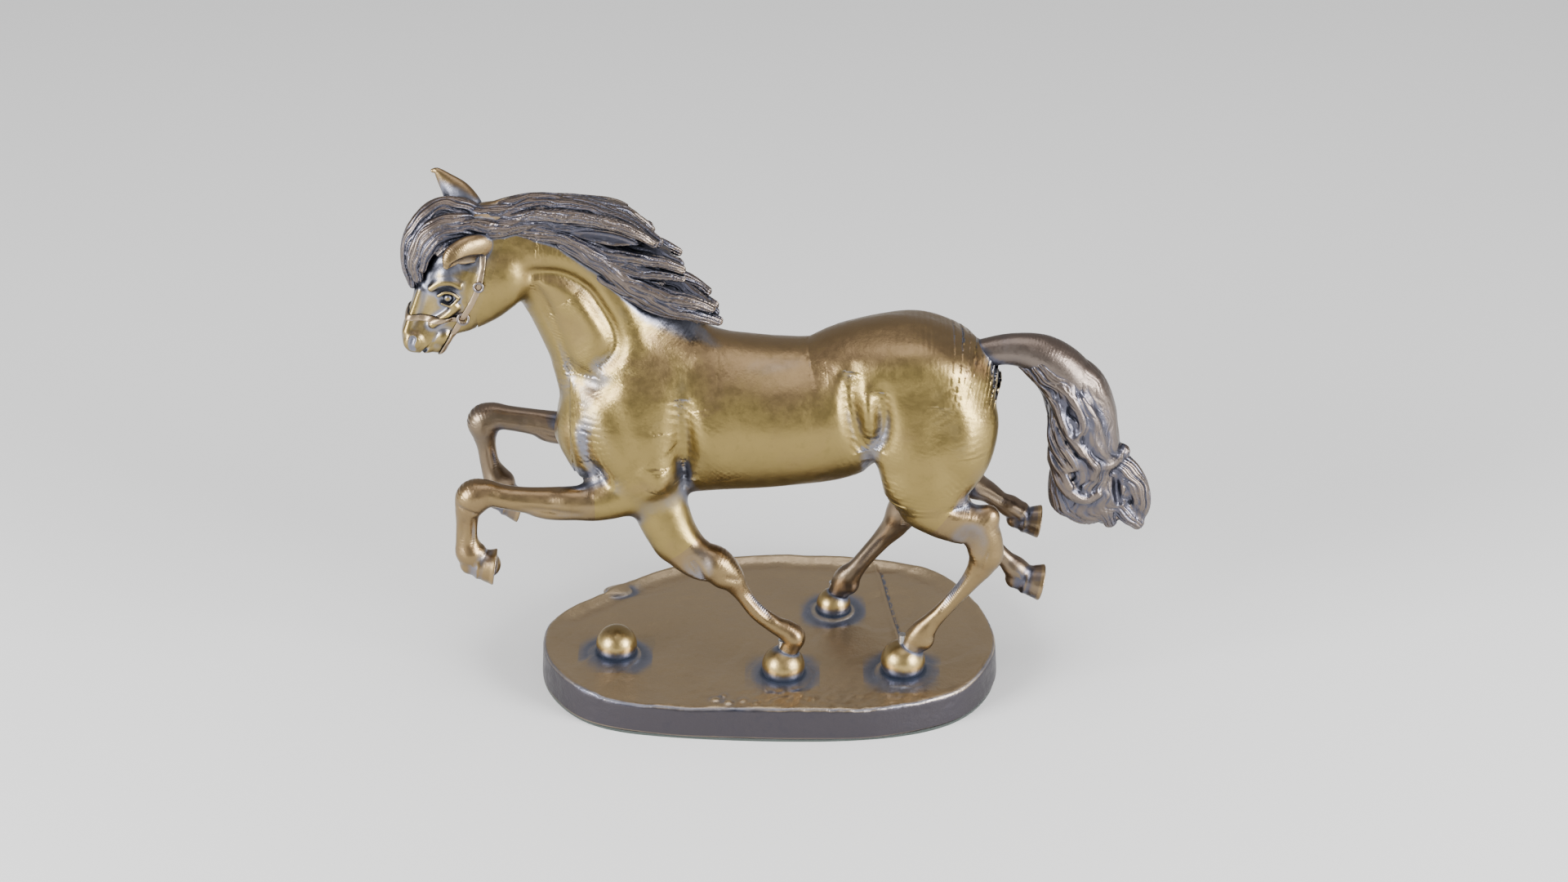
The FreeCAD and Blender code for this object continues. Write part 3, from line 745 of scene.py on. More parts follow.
def head_form():
    head = Clay().add(Profile(POLL, HEAD_AXES, HEAD_ROWS, power=2.35))
    at = on_head
    frame_axes = (DOWN_FACE, TO_FRONT, SIDE)
    for side in (-1, 1):
        head.add(Ball(at(27, -25, side * 8.5), (19, 17, 9.5), frame_axes), 4)  # the flat round cheek
        head.add(Ball(at(37, 3, side * 10.4), (9, 7, 5.4), frame_axes), 3)  # the brow
        head.cut(Ball(at(47, -3, side * 18.4), (6.0, 5.0, 4.2), frame_axes), 4)  # the socket below it
        head.add(Ball(at(46, -3.4, side * 12.2), (3.3, 3.0, 3.3), frame_axes), 0.8)  # the eye
        lid = [at(42.5, -8.4, side * 15.6), at(41.6, -4, side * 16), at(43, 0, side * 15.8),
               at(47, 2.4, side * 14.6)]
        head.add(Tube([(*p, 0.9, 1.0) for p in lid], step=0.8), 1.4)
        brow = [at(36, -6, side * 15.4), at(36.4, 0, side * 15.2), at(40, 5, side * 14.2),
                at(46, 8, side * 12.4)]
        head.add(Tube([(*p, 1.8, 1.8) for p in brow], step=0.8), 2.4)
        under = [at(44, -8.6, side * 15.2), at(49.4, -6.6, side * 14.6), at(50.6, -1.6, side * 13.8)]
        head.add(Tube([(*p, 0.7, 0.8) for p in under], step=0.8), 1.4)
        ridge = [at(49, -10, side * 13.6), at(56, -8, side * 12.4), at(66, -3, side * 10.4)]
        head.add(Tube([(*p, 2.2, 2) for p in ridge], step=1), 2.5)  # the facial crest
        head.cut(Ball(at(61, 4, side * 14.4), (10, 3.6, 4), frame_axes), 4)  # the hollow above it
        head.cut(Ball(at(62, -15, side * 13.6), (8, 4.6, 4), frame_axes), 4)  # the hollow under it
        head.cut(Tube([(*at(20, -9, side * 19), 2, 2), (*at(32, -10, side * 19), 2.4, 2),
                       (*at(42, -14, side * 18), 1.6, 2)],
                      step=1), 3)  # the groove in front of the cheek
        head.add(Ball(at(81.5, 1.5, side * 7), (6.6, 6, 4.2), frame_axes),
                 2)  # the flare of the nostril
        slot = [at(78.5, 3.6, side * 11.6), at(83, 2.4, side * 11.6), at(86.4, -0.6, side * 10)]
        head.cut(Tube([(*p, 2.3, 2.0) for p in slot], step=0.8), 0.8)
        mouth = [at(88, -5.5, side * 2), at(83, -7, side * 8), at(77, -8.4, side * 9.6),
                 at(70, -9, side * 9.6)]
        head.cut(Tube([(*p, 1.2, 1.4) for p in mouth], step=0.8), 0.8)
        head.add(Ball(at(72, -12.5, side * 6), (6, 4.6, 4), frame_axes), 2)  # the chin's side
        head.add(Tube([(*at(52, 12, side * 7), 2, 2), (*at(68, 9.6, side * 6.6), 2, 2),
                       (*at(78, 8, side * 6.6), 2, 2)],
                      step=1.5), 3)
    head.add(Ball(at(79, -13.5, 0), (6, 4.4, 6.4), frame_axes), 2)  # the chin
    return head


HEAD = head_form()
HEAD.low, HEAD.high = np.array([-232, -74, 204.0]), np.array([-108, 30, 330.0])
HEAD_AND_NECK = Clay().add(NECK).add(HEAD, 7)
marked(HEAD_AND_NECK, NECK_FURROWS, NECK_RIDGES)


def ear(rows, opening):
    """A tapering shell with its opening cut out."""
    shell = Clay().add(Tube(rows, step=1.0))
    shell.cut(Tube(opening, step=1.0), 0.8)
    shell.low, shell.high = shell.work[0][1].low, shell.work[0][1].high
    return shell


NEAR_EAR = ear([(-161, -24, 283, 9, 5), (-168, -30, 285, 10, 6), (-175, -36, 286.6, 9, 5.4),
                (-181, -41, 286, 7.2, 4.4), (-185, -44, 283, 5, 3.2), (-187, -45, 280, 1.8, 1.4)],
               [(-168, -36, 279, 4.6, 3), (-175, -42, 280, 5.4, 3.6), (-181, -46, 280, 4.2, 2.8),
                (-185, -49, 278, 1.6, 1.4)])
FAR_EAR = ear([(-174, -5, 290, 9.5, 6), (-178, -3, 298, 10.4, 6), (-183, 0, 306, 8.8, 5),
               (-189, 2, 313, 5.4, 3.4), (-194, 3, 318.5, 2.4, 2), (-197, 3, 319, 1.2, 1)],
              [(-188, -4, 297, 4, 3), (-191, -4, 304, 4.2, 3), (-194, -3, 311, 2.8, 2.2),
               (-198, -1, 317, 1, 0.8)])


# ---- hair: locks that lie side by side along a thick tapering path -------------------------------
def strand(points, start, thick, seed, taper=0.3, strands=7, groove=0.8):
    """One lock through a few points, thickest at the start and drawn out to a tip."""
    n = len(points)
    rows = []
    for i, (x, y, z) in enumerate(points):
        s = i / (n - 1)
        r = thick * (taper + (1 - taper) * (1 - s**2.2)) * (start + (1 - start) * min(1, s * 3))
        rows.append((x, y, z, r, r))
    return Tube(rows, step=2.0, strands=strands, groove=groove, wave=0.7, seed=seed)


def boxed(clay):
    """A mass of forms, with a box round them all."""
    clay.low = np.min([form.low for _, form, _ in clay.work], axis=0)
    clay.high = np.max([form.high for _, form, _ in clay.work], axis=0)
    return clay


DOCK_ROWS = [(112, -12, 199, 9, 9), (130, -12, 205, 8.8, 8.4), (148, -12, 207.5, 10, 9.4),
             (166, -12, 203, 13, 12), (180, -12, 190, 15.5, 14), (190, -12, 172, 15, 14)]

# The tail: an upper mass that ends in a scalloped lip, and the lobes that hang out from under it.
UPPER_MASS = [(166, -12, 199, 12, 13), (179, -12, 185, 16, 15.5), (187, -12, 168, 18.5, 17),
              (191, -12, 150, 19.5, 18), (193, -12, 134, 20, 18), (194, -12, 122, 18.5, 17),
              (195, -12, 114, 15, 15.5), (196, -12, 109, 7, 9)]
OUTER_BAND = [(180, -12, 194, 12, 12), (193, -12, 184, 11, 12), (201, -12, 169, 9.5, 11),
              (204, -12, 154, 9, 11), (206, -12, 142, 8.5, 10.5), (207, -12, 136, 6, 8)]
LOWER_MASS = [(193, -12, 138, 15, 12), (197, -12, 121, 21, 14), (203, -12, 107, 25, 14),
              (209, -12, 98, 20, 11), (212, -12, 94, 9, 6)]
LOBES = [
    ([(206, -12, 132), (217, -13, 126), (225, -14, 114), (228, -14, 101), (226, -14, 92)], 8.6),
    ([(181, -12, 130), (180, -14, 115), (181, -15, 103), (188, -15, 97)], 8.8),
    ([(198, -16, 116), (205, -18, 102), (210, -18, 91)], 6.6),
    ([(212, -15, 108), (220, -17, 96), (227, -17, 89)], 6.4),
    ([(190, -12, 104), (197, -12, 96), (206, -12, 90)], 6.0)]
RIDGES = [
    ([(160, -17, 203), (170, -22, 194), (180, -26, 185), (187, -28, 174), (190, -29, 163),
      (187, -29, 157)], 3.6),
    ([(152, -16, 199), (166, -20, 187), (174, -25, 176), (179, -28, 164), (185, -29, 153),
      (193, -30, 143), (199, -29, 135), (197, -28, 128)], 3.6),
    ([(172, -22, 178), (173, -24, 164), (177, -27, 152), (183, -29, 142), (187, -29, 135)], 3.0),
    ([(171, -18, 164), (172, -22, 151), (177, -26, 141), (183, -28, 133)], 3.0),
    ([(172, -18, 148), (173, -22, 138), (179, -27, 130), (184, -29, 122)], 3.2),
    ([(189, -26, 181), (197, -26, 167), (201, -25, 153), (205, -23, 142)], 3.0),
    ([(193, -27, 164), (197, -27, 152), (202, -26, 143), (207, -22, 137)], 2.8),
    ([(173, -20, 136), (178, -25, 124), (185, -27, 116), (194, -27, 112), (201, -26, 115)], 4.6),
    ([(198, -25, 135), (206, -22, 134), (212, -17, 135), (216, -12, 139)], 5.0)]
HOLLOWS = [
    ([(178, -33, 174, 2.5, 4), (183, -35, 167, 3.6, 6), (184, -35, 160, 3, 4.6)], 2.0),
    ([(190, -35, 141, 3, 5), (192, -37, 133, 6, 8), (192, -37, 124, 5, 7), (190, -36, 118, 3, 5)], 2.0),
    ([(195, -34, 160, 2.5, 4), (197, -36, 150, 3.6, 6), (200, -35, 141, 3, 5)], 2.0),
    ([(176, -33, 156, 1.6, 4), (179, -35, 147, 2, 5), (184, -36, 138, 1.6, 4)], 1.5),
    ([(180, -33, 106, 5, 7), (189, -34, 102, 6.5, 10), (199, -33, 102, 5, 8)], 3.0),
    ([(212, -26, 128, 3, 5), (213, -28, 117, 3.4, 9), (215, -27, 106, 2.6, 6)], 2.0),
    ([(221, -25, 103, 2, 4), (227, -27, 97, 3.4, 7), (232, -26, 92, 3, 7)], 2.0)]


def tail_form():
    mass = Clay().add(Tube(LOWER_MASS, strands=11, groove=1.2, wave=0.9, seed=39))
    for i, (points, thick) in enumerate(LOBES):
        mass.add(strand(points, 0.9, thick, 60 + i, 0.7, strands=9, groove=1.1), 2.5)
    mass.add(Tube(UPPER_MASS, strands=12, groove=1.5, wave=1.0, seed=40), 1.5)
    mass.add(Tube(OUTER_BAND, strands=7, groove=0.5, wave=0.5, seed=41), 3)
    for i, (points, thick) in enumerate(RIDGES):
        for j, side in enumerate((points, [(x + 2, 2 * MID - y, z - 2) for x, y, z in points])):
            mass.add(strand(side, 0.6, thick, 42 + 2 * i + j, 0.6, strands=4, groove=0.4), 3.0)
    for rows, soft in HOLLOWS:
        mass.cut(Tube(rows), soft)
        mass.cut(Tube(across([(x + 2, y, z - 2, a, b) for x, y, z, a, b in rows])), soft)
    return boxed(mass)


FAR_LOCK_DROP = 9.0


def other_side(locks):
    """The same locks on the far side of the neck, where they hang lower."""
    return [([(x - 3, 2 * MID - y, z - FAR_LOCK_DROP * i / len(points)) for i,
              (x, y, z) in enumerate(points)], thick)
            for points, thick in locks]


NEAR_MANE_CREST = [
    ([(-160, -20, 294), (-142, -22, 301), (-122, -25, 303), (-104, -28, 302), (-88, -31, 300),
      (-76, -32, 295), (-67, -31, 289)], 4.8),
    ([(-158, -15, 297), (-140, -16, 304), (-118, -18, 305), (-98, -22, 302), (-83, -26, 298),
      (-73, -28, 292), (-66, -29, 287)], 5.4)]
NEAR_MANE_MIDDLE = [
    ([(-150, -22, 295), (-130, -25, 294), (-112, -26, 287), (-94, -26, 280), (-78, -28, 277),
      (-62, -31, 276), (-50, -31, 271)], 5.4),
    ([(-138, -25, 291), (-118, -27, 289), (-102, -28, 279), (-86, -28, 271), (-72, -29, 268),
      (-60, -30, 267), (-50, -30, 265)], 5.2),
    ([(-120, -27, 286), (-102, -28, 275), (-88, -28, 266), (-74, -28, 262), (-62, -28, 260)], 4.6)]
NEAR_MANE_LOWER = [
    ([(-164, -21, 291), (-143, -25, 293), (-116, -28, 289), (-94, -29, 275), (-74, -29, 258),
      (-58, -29, 246), (-42, -28, 236)], 4.4),
    ([(-104, -27, 280), (-88, -28, 267), (-72, -29, 258), (-56, -31, 253), (-44, -32, 250),
      (-33, -30, 245)], 6.0),
    ([(-96, -27, 271), (-82, -28, 260), (-68, -29, 251), (-54, -31, 245), (-42, -31, 241),
      (-29, -29, 236)], 6.4),
    ([(-84, -28, 256), (-72, -28, 247), (-60, -28, 241), (-50, -28, 238)], 4.2)]
MANE_CREST = NEAR_MANE_CREST + other_side(NEAR_MANE_CREST) + [
    ([(-172, -12, 295), (-154, -12, 302), (-134, -12, 305), (-112, -13, 303), (-92, -16, 299),
      (-76, -21, 293), (-64, -25, 286)], 7),
    ([(-180, -16, 298), (-168, -17, 299), (-154, -17, 301), (-140, -17, 303)], 7),
    ([(-174, -25, 291), (-163, -26, 293), (-150, -25, 295), (-136, -25, 297)], 6)]
MANE_MIDDLE = NEAR_MANE_MIDDLE + other_side(NEAR_MANE_MIDDLE) + [
    ([(-116, -12, 286), (-98, -13, 284), (-80, -16, 279), (-64, -20, 274), (-52, -24, 271)], 7)]
MANE_LOWER = NEAR_MANE_LOWER + other_side(NEAR_MANE_LOWER) + [
    ([(-96, -12, 264), (-80, -12, 260), (-62, -14, 254), (-46, -18, 247), (-32, -24, 239)], 8)]
FORELOCK = [
    ([(-166, -14, 296), (-178, -15, 303), (-192, -18, 304), (-203, -22, 296), (-209, -25, 284),
      (-210, -27, 272), (-208, -28, 261)], 7.5),
    ([(-168, -20, 295), (-181, -24, 299), (-193, -28, 297), (-202, -31, 288), (-206, -33, 277),
      (-205, -33, 267)], 7),
    ([(-166, -26, 290), (-180, -29, 295), (-191, -32, 292), (-199, -34, 284), (-202, -35, 274)], 6),
    ([(-168, -8, 295), (-181, -8, 299), (-194, -10, 297), (-204, -13, 288), (-209, -17, 276),
      (-209, -21, 265)], 7),
    ([(-164, -26, 284), (-174, -30, 290), (-184, -33, 290), (-192, -35, 284)], 4.5),
    ([(-152, -24, 292), (-162, -26, 296), (-173, -28, 298), (-185, -29, 297)], 5.5)]


def hair(locks, seed, core=None, root=0.75, strands=8, groove=1.0, taper=0.5):
    """A mass of carved locks over a solid core."""
    mass = Clay()
    if core:
        mass.add(Tube(core, strands=12, groove=groove, wave=0.6, seed=seed + 50))
    for i, (points, thick) in enumerate(locks):
        mass.add(strand(points, root, thick, seed + i, taper, strands=strands, groove=groove), 0.7)
    return boxed(mass)


TAIL = tail_form()
DOCK = Clay().add(Tube(DOCK_ROWS, step=1.6))
DOCK.low, DOCK.high = DOCK.work[0][1].low, DOCK.work[0][1].high
CREST = hair(MANE_CREST, 60, [(-174, -14, 290, 9, 13), (-156, -13, 295, 9, 15), (-130, -12, 297, 9, 16),
                              (-106, -13, 293, 9, 17), (-88, -14, 289, 8, 17), (-76, -16, 287, 5, 14)])
CREST_HOLLOW = [(-118, -36, 294, 3.5, 7), (-104, -37, 293, 5, 10), (-90, -38, 290, 6.5, 12),
                (-78, -38, 286, 6, 11), (-68, -38, 283, 3, 5)]
for rows in (CREST_HOLLOW, across(CREST_HOLLOW)):
    CREST.cut(Tube(rows), 1.5)
MIDDLE = hair(MANE_MIDDLE, 80, [(-130, -12, 284, 8, 14), (-112, -12, 282, 9, 17),
                                (-94, -13, 277, 8, 18), (-78, -14, 272, 7, 18), (-62, -16, 270, 5, 15)])
LOWER = hair(MANE_LOWER, 100, [(-112, -12, 268, 8, 15), (-96, -12, 262, 10, 18),
                               (-78, -13, 252, 10, 19), (-60, -14, 245, 8, 19), (-44, -16, 239, 5, 15)])
FRINGE = hair(FORELOCK, 120, [(-168, -18, 292, 8, 12), (-180, -19, 297, 7, 13), (-192, -21, 296, 6, 13),
                              (-201, -24, 288, 5, 12), (-205, -26, 277, 3.5, 9)])


# ---- the halter: straps that lie on the head -----------------------------------------------------
STRAP_HALF = 1.8
STRAP_RISE = 1.3


class Strap(Form):
    """A band on the head's surface, wherever that surface lies within a guide."""

    def __init__(self, guide, low, high):
        self.guide, self.low, self.high = guide, np.array(low, float), np.array(high, float)

    def __call__(self, p):
        skin = HEAD_AND_NECK(p)
        edge = self.guide(p)
        rise = STRAP_RISE - 0.35 * np.clip(edge / STRAP_HALF + 1, 0, 1) ** 3
        return np.maximum(np.maximum(skin - rise, -skin - 1.0), edge)


class Level(Form):
    """Within a band's half width of a flat plane."""

    def __init__(self, point, normal, half):
        self.flat, self.half = Plane(point, normal), half

    def __call__(self, p):
        return np.abs(self.flat(p)) - self.half


class Trail(Form):
    """Within a band's half width of a line drawn from the side, on one side of the head."""

    def __init__(self, line, half, side):
        self.line = smooth_rows([(x, 0.0, z) for x, z in line], 1.0)[:, [0, 2]].astype(np.float32)
        self.half, self.side = half, side

    def __call__(self, p):
        q = p[:, [0, 2]]
        square = (self.line**2).sum(1) - 2 * q @ self.line.T
        gap = np.sqrt(np.maximum(square.min(1) + (q**2).sum(1), 0))
        down = (p - POLL) @ DOWN_FACE
        out = (p[:, 1] - POLL[1] - HEAD_LEAN * down) * self.side
        return np.maximum(gap - self.half, 5.0 - out)


CHEEK_LINE = [(-179, 243), (-173, 254), (-169, 264), (-166.5, 277), (-166, 288)]


class Noseband(Form):
    """A level band over the nose as far back as the rings, and a band from them down under the chin."""

    def __call__(self, p):
        nose = np.maximum(Level((-192, -28, 242.0), (0.05, 0.0, 1.0), STRAP_HALF)(p), p[:, 0] + 178)
        chin = np.maximum(Level((-179, -28, 243.0), (0.88, 0.0, -0.47), STRAP_HALF)(p), p[:, 2] - 243)
        return np.minimum(nose, chin)


NOSEBAND = Strap(Noseband(), (-224, -64, 214), (-162, 8, 256))
CHEEKS = {side: Strap(Trail(CHEEK_LINE, STRAP_HALF, side), (-190, -60, 236),
                      (-156, 16, 298)) for side in (-1, 1)}


def skin_point(x, z, side, lift=0.0):
    """The place on the head's or neck's outer surface at x and z, on one side."""
    y = np.linspace(-14, side * 34 - 22, 400)
    p = np.column_stack([np.full(400, x), y, np.full(400, z)]).astype(np.float32)
    inside = np.flatnonzero(HEAD_AND_NECK(p) < 0)
    last = y[inside[-1]] if len(inside) else y[0]
    return np.array([x, last + side * lift, z])


def hoop(name, centre, axis, radius, wire, material):
    """A round wire hoop as a closed mesh."""
    axis = unit(np.array(axis, float))
    one = unit(np.cross(axis, (0.3, 0.2, 1.0)))
    two = np.cross(axis, one)
    turns, sides = 56, 18
    verts = []
    for i in range(turns):
        a = 2 * math.pi * i / turns
        out = one * math.cos(a) + two * math.sin(a)
        for j in range(sides):
            b = 2 * math.pi * j / sides
            verts.append(centre + out * (radius + wire * math.cos(b)) + axis * wire * math.sin(b))
    faces = [(i * sides + j, (i + 1) % turns * sides + j, (i + 1) % turns * sides + (j + 1) % sides,
              i * sides + (j + 1) % sides) for i in range(turns) for j in range(sides)]
    return plain_piece(name, verts, faces, material)


def plain_piece(name, verts, faces, material):
    mesh = bpy.data.meshes.new(name)
    mesh.from_pydata([tuple(np.array(v) * UNIT + (0, 0, GROUND)) for v in verts], [], faces)
    mesh.validate()
    mesh.update()
    mesh.polygons.foreach_set("use_smooth", np.ones(len(mesh.polygons), bool))
    layer = mesh.color_attributes.new("wear_and_shade", "FLOAT_COLOR", "POINT")
    layer.data.foreach_set("color", np.tile(np.array([0.9, 0.9, 0.5, 1], np.float32),
                                            len(mesh.vertices)))
    mesh.materials.append(material)
    piece = bpy.data.objects.new(name, mesh)
    bpy.context.scene.collection.objects.link(piece)
    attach(piece, "root")
    return piece


# ---- the plinth ----------------------------------------------------------------------------------
HALF_LENGTH = 144.0
HALF_WIDTH = 92.0
OUTLINE = [(-1, -0.14), (-0.94, -0.48), (-0.77, -0.79), (-0.45, -0.94), (0.1, -1), (0.5, -0.96),
           (0.82, -0.76), (0.98, -0.38), (1, 0.05), (0.9, 0.5), (0.72, 0.84), (0.35, 0.99),
           (-0.15, 0.99), (-0.51, 0.8), (-0.79, 0.45), (-0.96, 0.18)]
DOMES = {
    "dome_foreleg": (9, -50, 12.5, 6.0),
    "dome_hind_near": (83, -46, 13, 7.0),
    "dome_hind_far": (41, 24, 10, 4.0),
    "dome_spare": (-95, -26, 12, 6.0),
}


def closed_curve(points, step):
    """A closed smooth curve through points."""
    p = np.array(points, float)
    n = len(p)
    out = []
    for i in range(n):
        a, b, c, d = p[i - 1], p[i], p[(i + 1) % n], p[(i + 2) % n]
        count = math.ceil(np.linalg.norm(c - b) / step)
        t = np.arange(count)[:, None] / count
        out.append(curve(a, b, c, d, t))
    return np.vstack(out)


def waves(x, y, seed, scale, count=7):
    """A gentle uneven swell from crossed waves."""
    rng = np.random.default_rng(seed)
    total = np.zeros(len(x))
    for _ in range(count):
        angle, phase = rng.uniform(0, 2 * math.pi, 2)
        size = scale * rng.uniform(0.6, 1.6)
        total += np.sin((x * math.cos(angle) + y * math.sin(angle)) / size + phase)
    return total / count


class Plinth(Form):
    """The cast base: an uneven slab with a rolled rim, a raised far lip, a ridge and rough ground."""

    def __init__(self, relief):
        self.rim = closed_curve(np.array(OUTLINE) * (HALF_LENGTH - 1.4, HALF_WIDTH - 1.4),
                                2.0).astype(np.float32)
        ahead = unit(np.roll(self.rim, -1, 0) - np.roll(self.rim, 1, 0))
        self.out = np.column_stack([ahead[:, 1], -ahead[:, 0]])
        self.relief = relief
        self.low = np.array([-HALF_LENGTH - 6, -HALF_WIDTH - 6, -FLOOR_BELOW - 6])
        self.high = np.array([HALF_LENGTH + 6, HALF_WIDTH + 6, 10.0])

    def edge(self, x, y):
        """How far outside the outline, negative within."""
        q = np.column_stack([x, y]).astype(np.float32)
        square = (self.rim**2).sum(1) - 2 * q @ self.rim.T
        index = np.argmin(square, 1)
        return ((q - self.rim[index]) * self.out[index]).sum(1)

    def top(self, x, y, edge):
        swell = waves(x, y, 3, 17) * 1.5 + waves(x, y, 4, 6.5) * 0.9
        patches = np.clip(waves(x, y, 8, 9) * 3.6, -0.5, 0.5)
        rough = waves(x, y, 5, 1.5, 9)
        centre_patch = np.exp(-((x - 32) / 46) ** 2 - ((y + 78) / 13) ** 2)
        ground = self.relief * (swell + patches + rough * (0.12 + 1.1 * centre_patch))
        lip = np.exp(-((edge + 5) / 3.6) ** 2) * np.clip((y - 4) / 24, 0, 1)
        trough = np.exp(-((edge + 13) / 5.5) ** 2) * np.clip((y - 4) / 24, 0, 1)
        bank = np.exp(-((edge + 3) / 4) ** 2) * np.clip((-x - 96) / 24, 0, 1)
        ridge_line = 77 - (y - 20) * 0.14
        ridge = np.exp(-((x - ridge_line) / 1.6) ** 2) * np.clip((y + 20) / 8, 0,
            1) * np.clip((84 - y) / 8, 0, 1)
        slit = np.exp(-((x - ridge_line - 2.6) / 0.9) ** 2) * np.clip((y + 12) / 8, 0,
            1) * np.clip((76 - y) / 8, 0, 1)
        return -1.2 + ground + 2.2 * lip - 1.0 * trough + 0.8 * bank + 1.1 * ridge - 0.9 * slit

    def __call__(self, p):
        x, y, z = p.T
        edge = self.edge(x, y)
        side = edge + 0.06 * (z + FLOOR_BELOW) + 1.0 * waves(x + z * 0.5, y - z * 0.4, 6, 9)
        upper = z - self.top(x, y, edge)
        f = trim(side, upper, 3.4)
        f = trim(f, (-z - FLOOR_BELOW), 1.6)
        return f.astype(np.float32)


def plinth_form(relief):
    plinth = Clay().add(Plinth(relief))
    plinth.cut(Ball((-108, 47, 0), (6, 5, 9)), 2)
    plinth.add(Ball((-97, 47, -1.6), (9, 6, 2.6)), 3)
    for i, (x, y) in enumerate([(-32, -78), (-24, -81), (-15, -79), (-7, -82), (-27, -74)]):
        plinth.add(Ball((x, y, -1.6), (3.4 - 0.3 * i, 2.6, 2.0)), 1.5)
    for x, y, radius, _ in DOMES.values():
        plinth.add(Ball((x, y, -1.6), (radius + 2.4, radius + 2.4, 2.0)), 4.0)
    plinth.low, plinth.high = plinth.work[0][1].low, plinth.work[0][1].high
    return plinth


def dome_form(x, y, radius, height):
    """A round boss that leans a little, with a rolled foot."""
    boss = Clay().add(Ball((x, y, height), (radius, radius, radius)))
    boss.add(Ball((x + 0.12 * radius, y, height - 0.8), (radius * 0.93, radius * 0.9, radius)), 4.0)
    boss.keep(Plane((x, y, -2.0), (0, 0, -1)), 0.5)
    reach = radius * 1.2 + MARGIN
    boss.low, boss.high = np.array([x, y, 0]) - reach, np.array([x, y, height]) + reach
    return boss


def everything():
    """The whole statue as one form, for finding recesses."""
    whole = Clay().add(TRUNK_BODY).add(HEAD, 0.5)
    for form in (NEAR_EAR, FAR_EAR, TAIL, DOCK, CREST, MIDDLE, LOWER, FRINGE):
        whole.add(form, 0.1)
    for limb in LIMBS.values():
        whole.add(limb.own, limb.soft)
    whole.add(plinth_form(1.0), 0.1)
    for spec in DOMES.values():
        whole.add(dome_form(*spec), 0.1)
    return whole


EVERYTHING = everything()


# ---- finishes ------------------------------------------------------------------------------------
class Finish:
    """A material being built up from nodes."""

    def __init__(self, name):
        self.material = bpy.data.materials.new(name)
        self.material.use_nodes = True
        self.nodes = self.material.node_tree.nodes
        self.links = self.material.node_tree.links
        self.nodes.clear()
        self.output = self.nodes.new("ShaderNodeOutputMaterial")
        self.shader = self.nodes.new("ShaderNodeBsdfPrincipled")
        self.links.new(self.shader.outputs[0], self.output.inputs["Surface"])
        self.place = self.nodes.new("ShaderNodeTexCoord").outputs["Object"]

    def join(self, source, target):
        self.links.new(source, target)

    def noise(self, scale, detail=4.0, rough=0.6, warp=0.0, stretch=None):
        node = self.nodes.new("ShaderNodeTexNoise")
        node.inputs["Scale"].default_value = scale
        node.inputs["Detail"].default_value = detail
        node.inputs["Roughness"].default_value = rough
        node.inputs["Distortion"].default_value = warp
        place = self.place
        if stretch:
            mapping = self.nodes.new("ShaderNodeMapping")
            mapping.inputs["Scale"].default_value = stretch
            self.join(place, mapping.inputs["Vector"])
            place = mapping.outputs["Vector"]
        self.join(place, node.inputs["Vector"])
        return node.outputs["Fac"]

    def span(self, source, low, high, to_low=0.0, to_high=1.0):
        node = self.nodes.new("ShaderNodeMapRange")
        node.interpolation_type = "SMOOTHSTEP"
        for key, value in (("From Min", low), ("From Max", high), ("To Min", to_low),
                           ("To Max", to_high)):
            node.inputs[key].default_value = value
        self.join(source, node.inputs["Value"])
        return node.outputs["Result"]

    def sum(self, kind, first, second):
        node = self.nodes.new("ShaderNodeMath")
        node.operation = kind
        for socket, value in zip(node.inputs, (first, second)):
            if isinstance(value, (int, float)):
                socket.default_value = value
            else:
                self.join(value, socket)
        return node.outputs[0]

    def mix(self, factor, first, second, kind="MIX"):
        node = self.nodes.new("ShaderNodeMix")
        node.data_type = "RGBA"
        node.blend_type = kind
        for socket, value in zip((node.inputs[0], node.inputs[6], node.inputs[7]),
                                 (factor, first, second)):
            if isinstance(value, (int, float)):
                socket.default_value = value
            elif isinstance(value, tuple):
                socket.default_value = (*value[:3], 1.0)
            else:
                self.join(value, socket)
        return node.outputs[2]

    def wear_and_shade(self):
        node = self.nodes.new("ShaderNodeAttribute")
        node.attribute_name = "wear_and_shade"
        split = self.nodes.new("ShaderNodeSeparateColor")
        self.join(node.outputs["Color"], split.inputs["Color"])
        return split.outputs[0], split.outputs[1], split.outputs[2]

    def bump(self, height, strength, distance, after=None):
        node = self.nodes.new("ShaderNodeBump")
        node.inputs["Strength"].default_value = strength
        node.inputs["Distance"].default_value = distance
        self.join(height, node.inputs["Height"])
        if after:
            self.join(after, node.inputs["Normal"])
        return node.outputs["Normal"]


CLOUD_SCALE = 24  # the patina's broad clouds
FLECK_SCALE = 150  # its small flecks
COARSE_GRAIN = 90  # the cast skin's slow unevenness
FINE_GRAIN = 620  # and its fine one


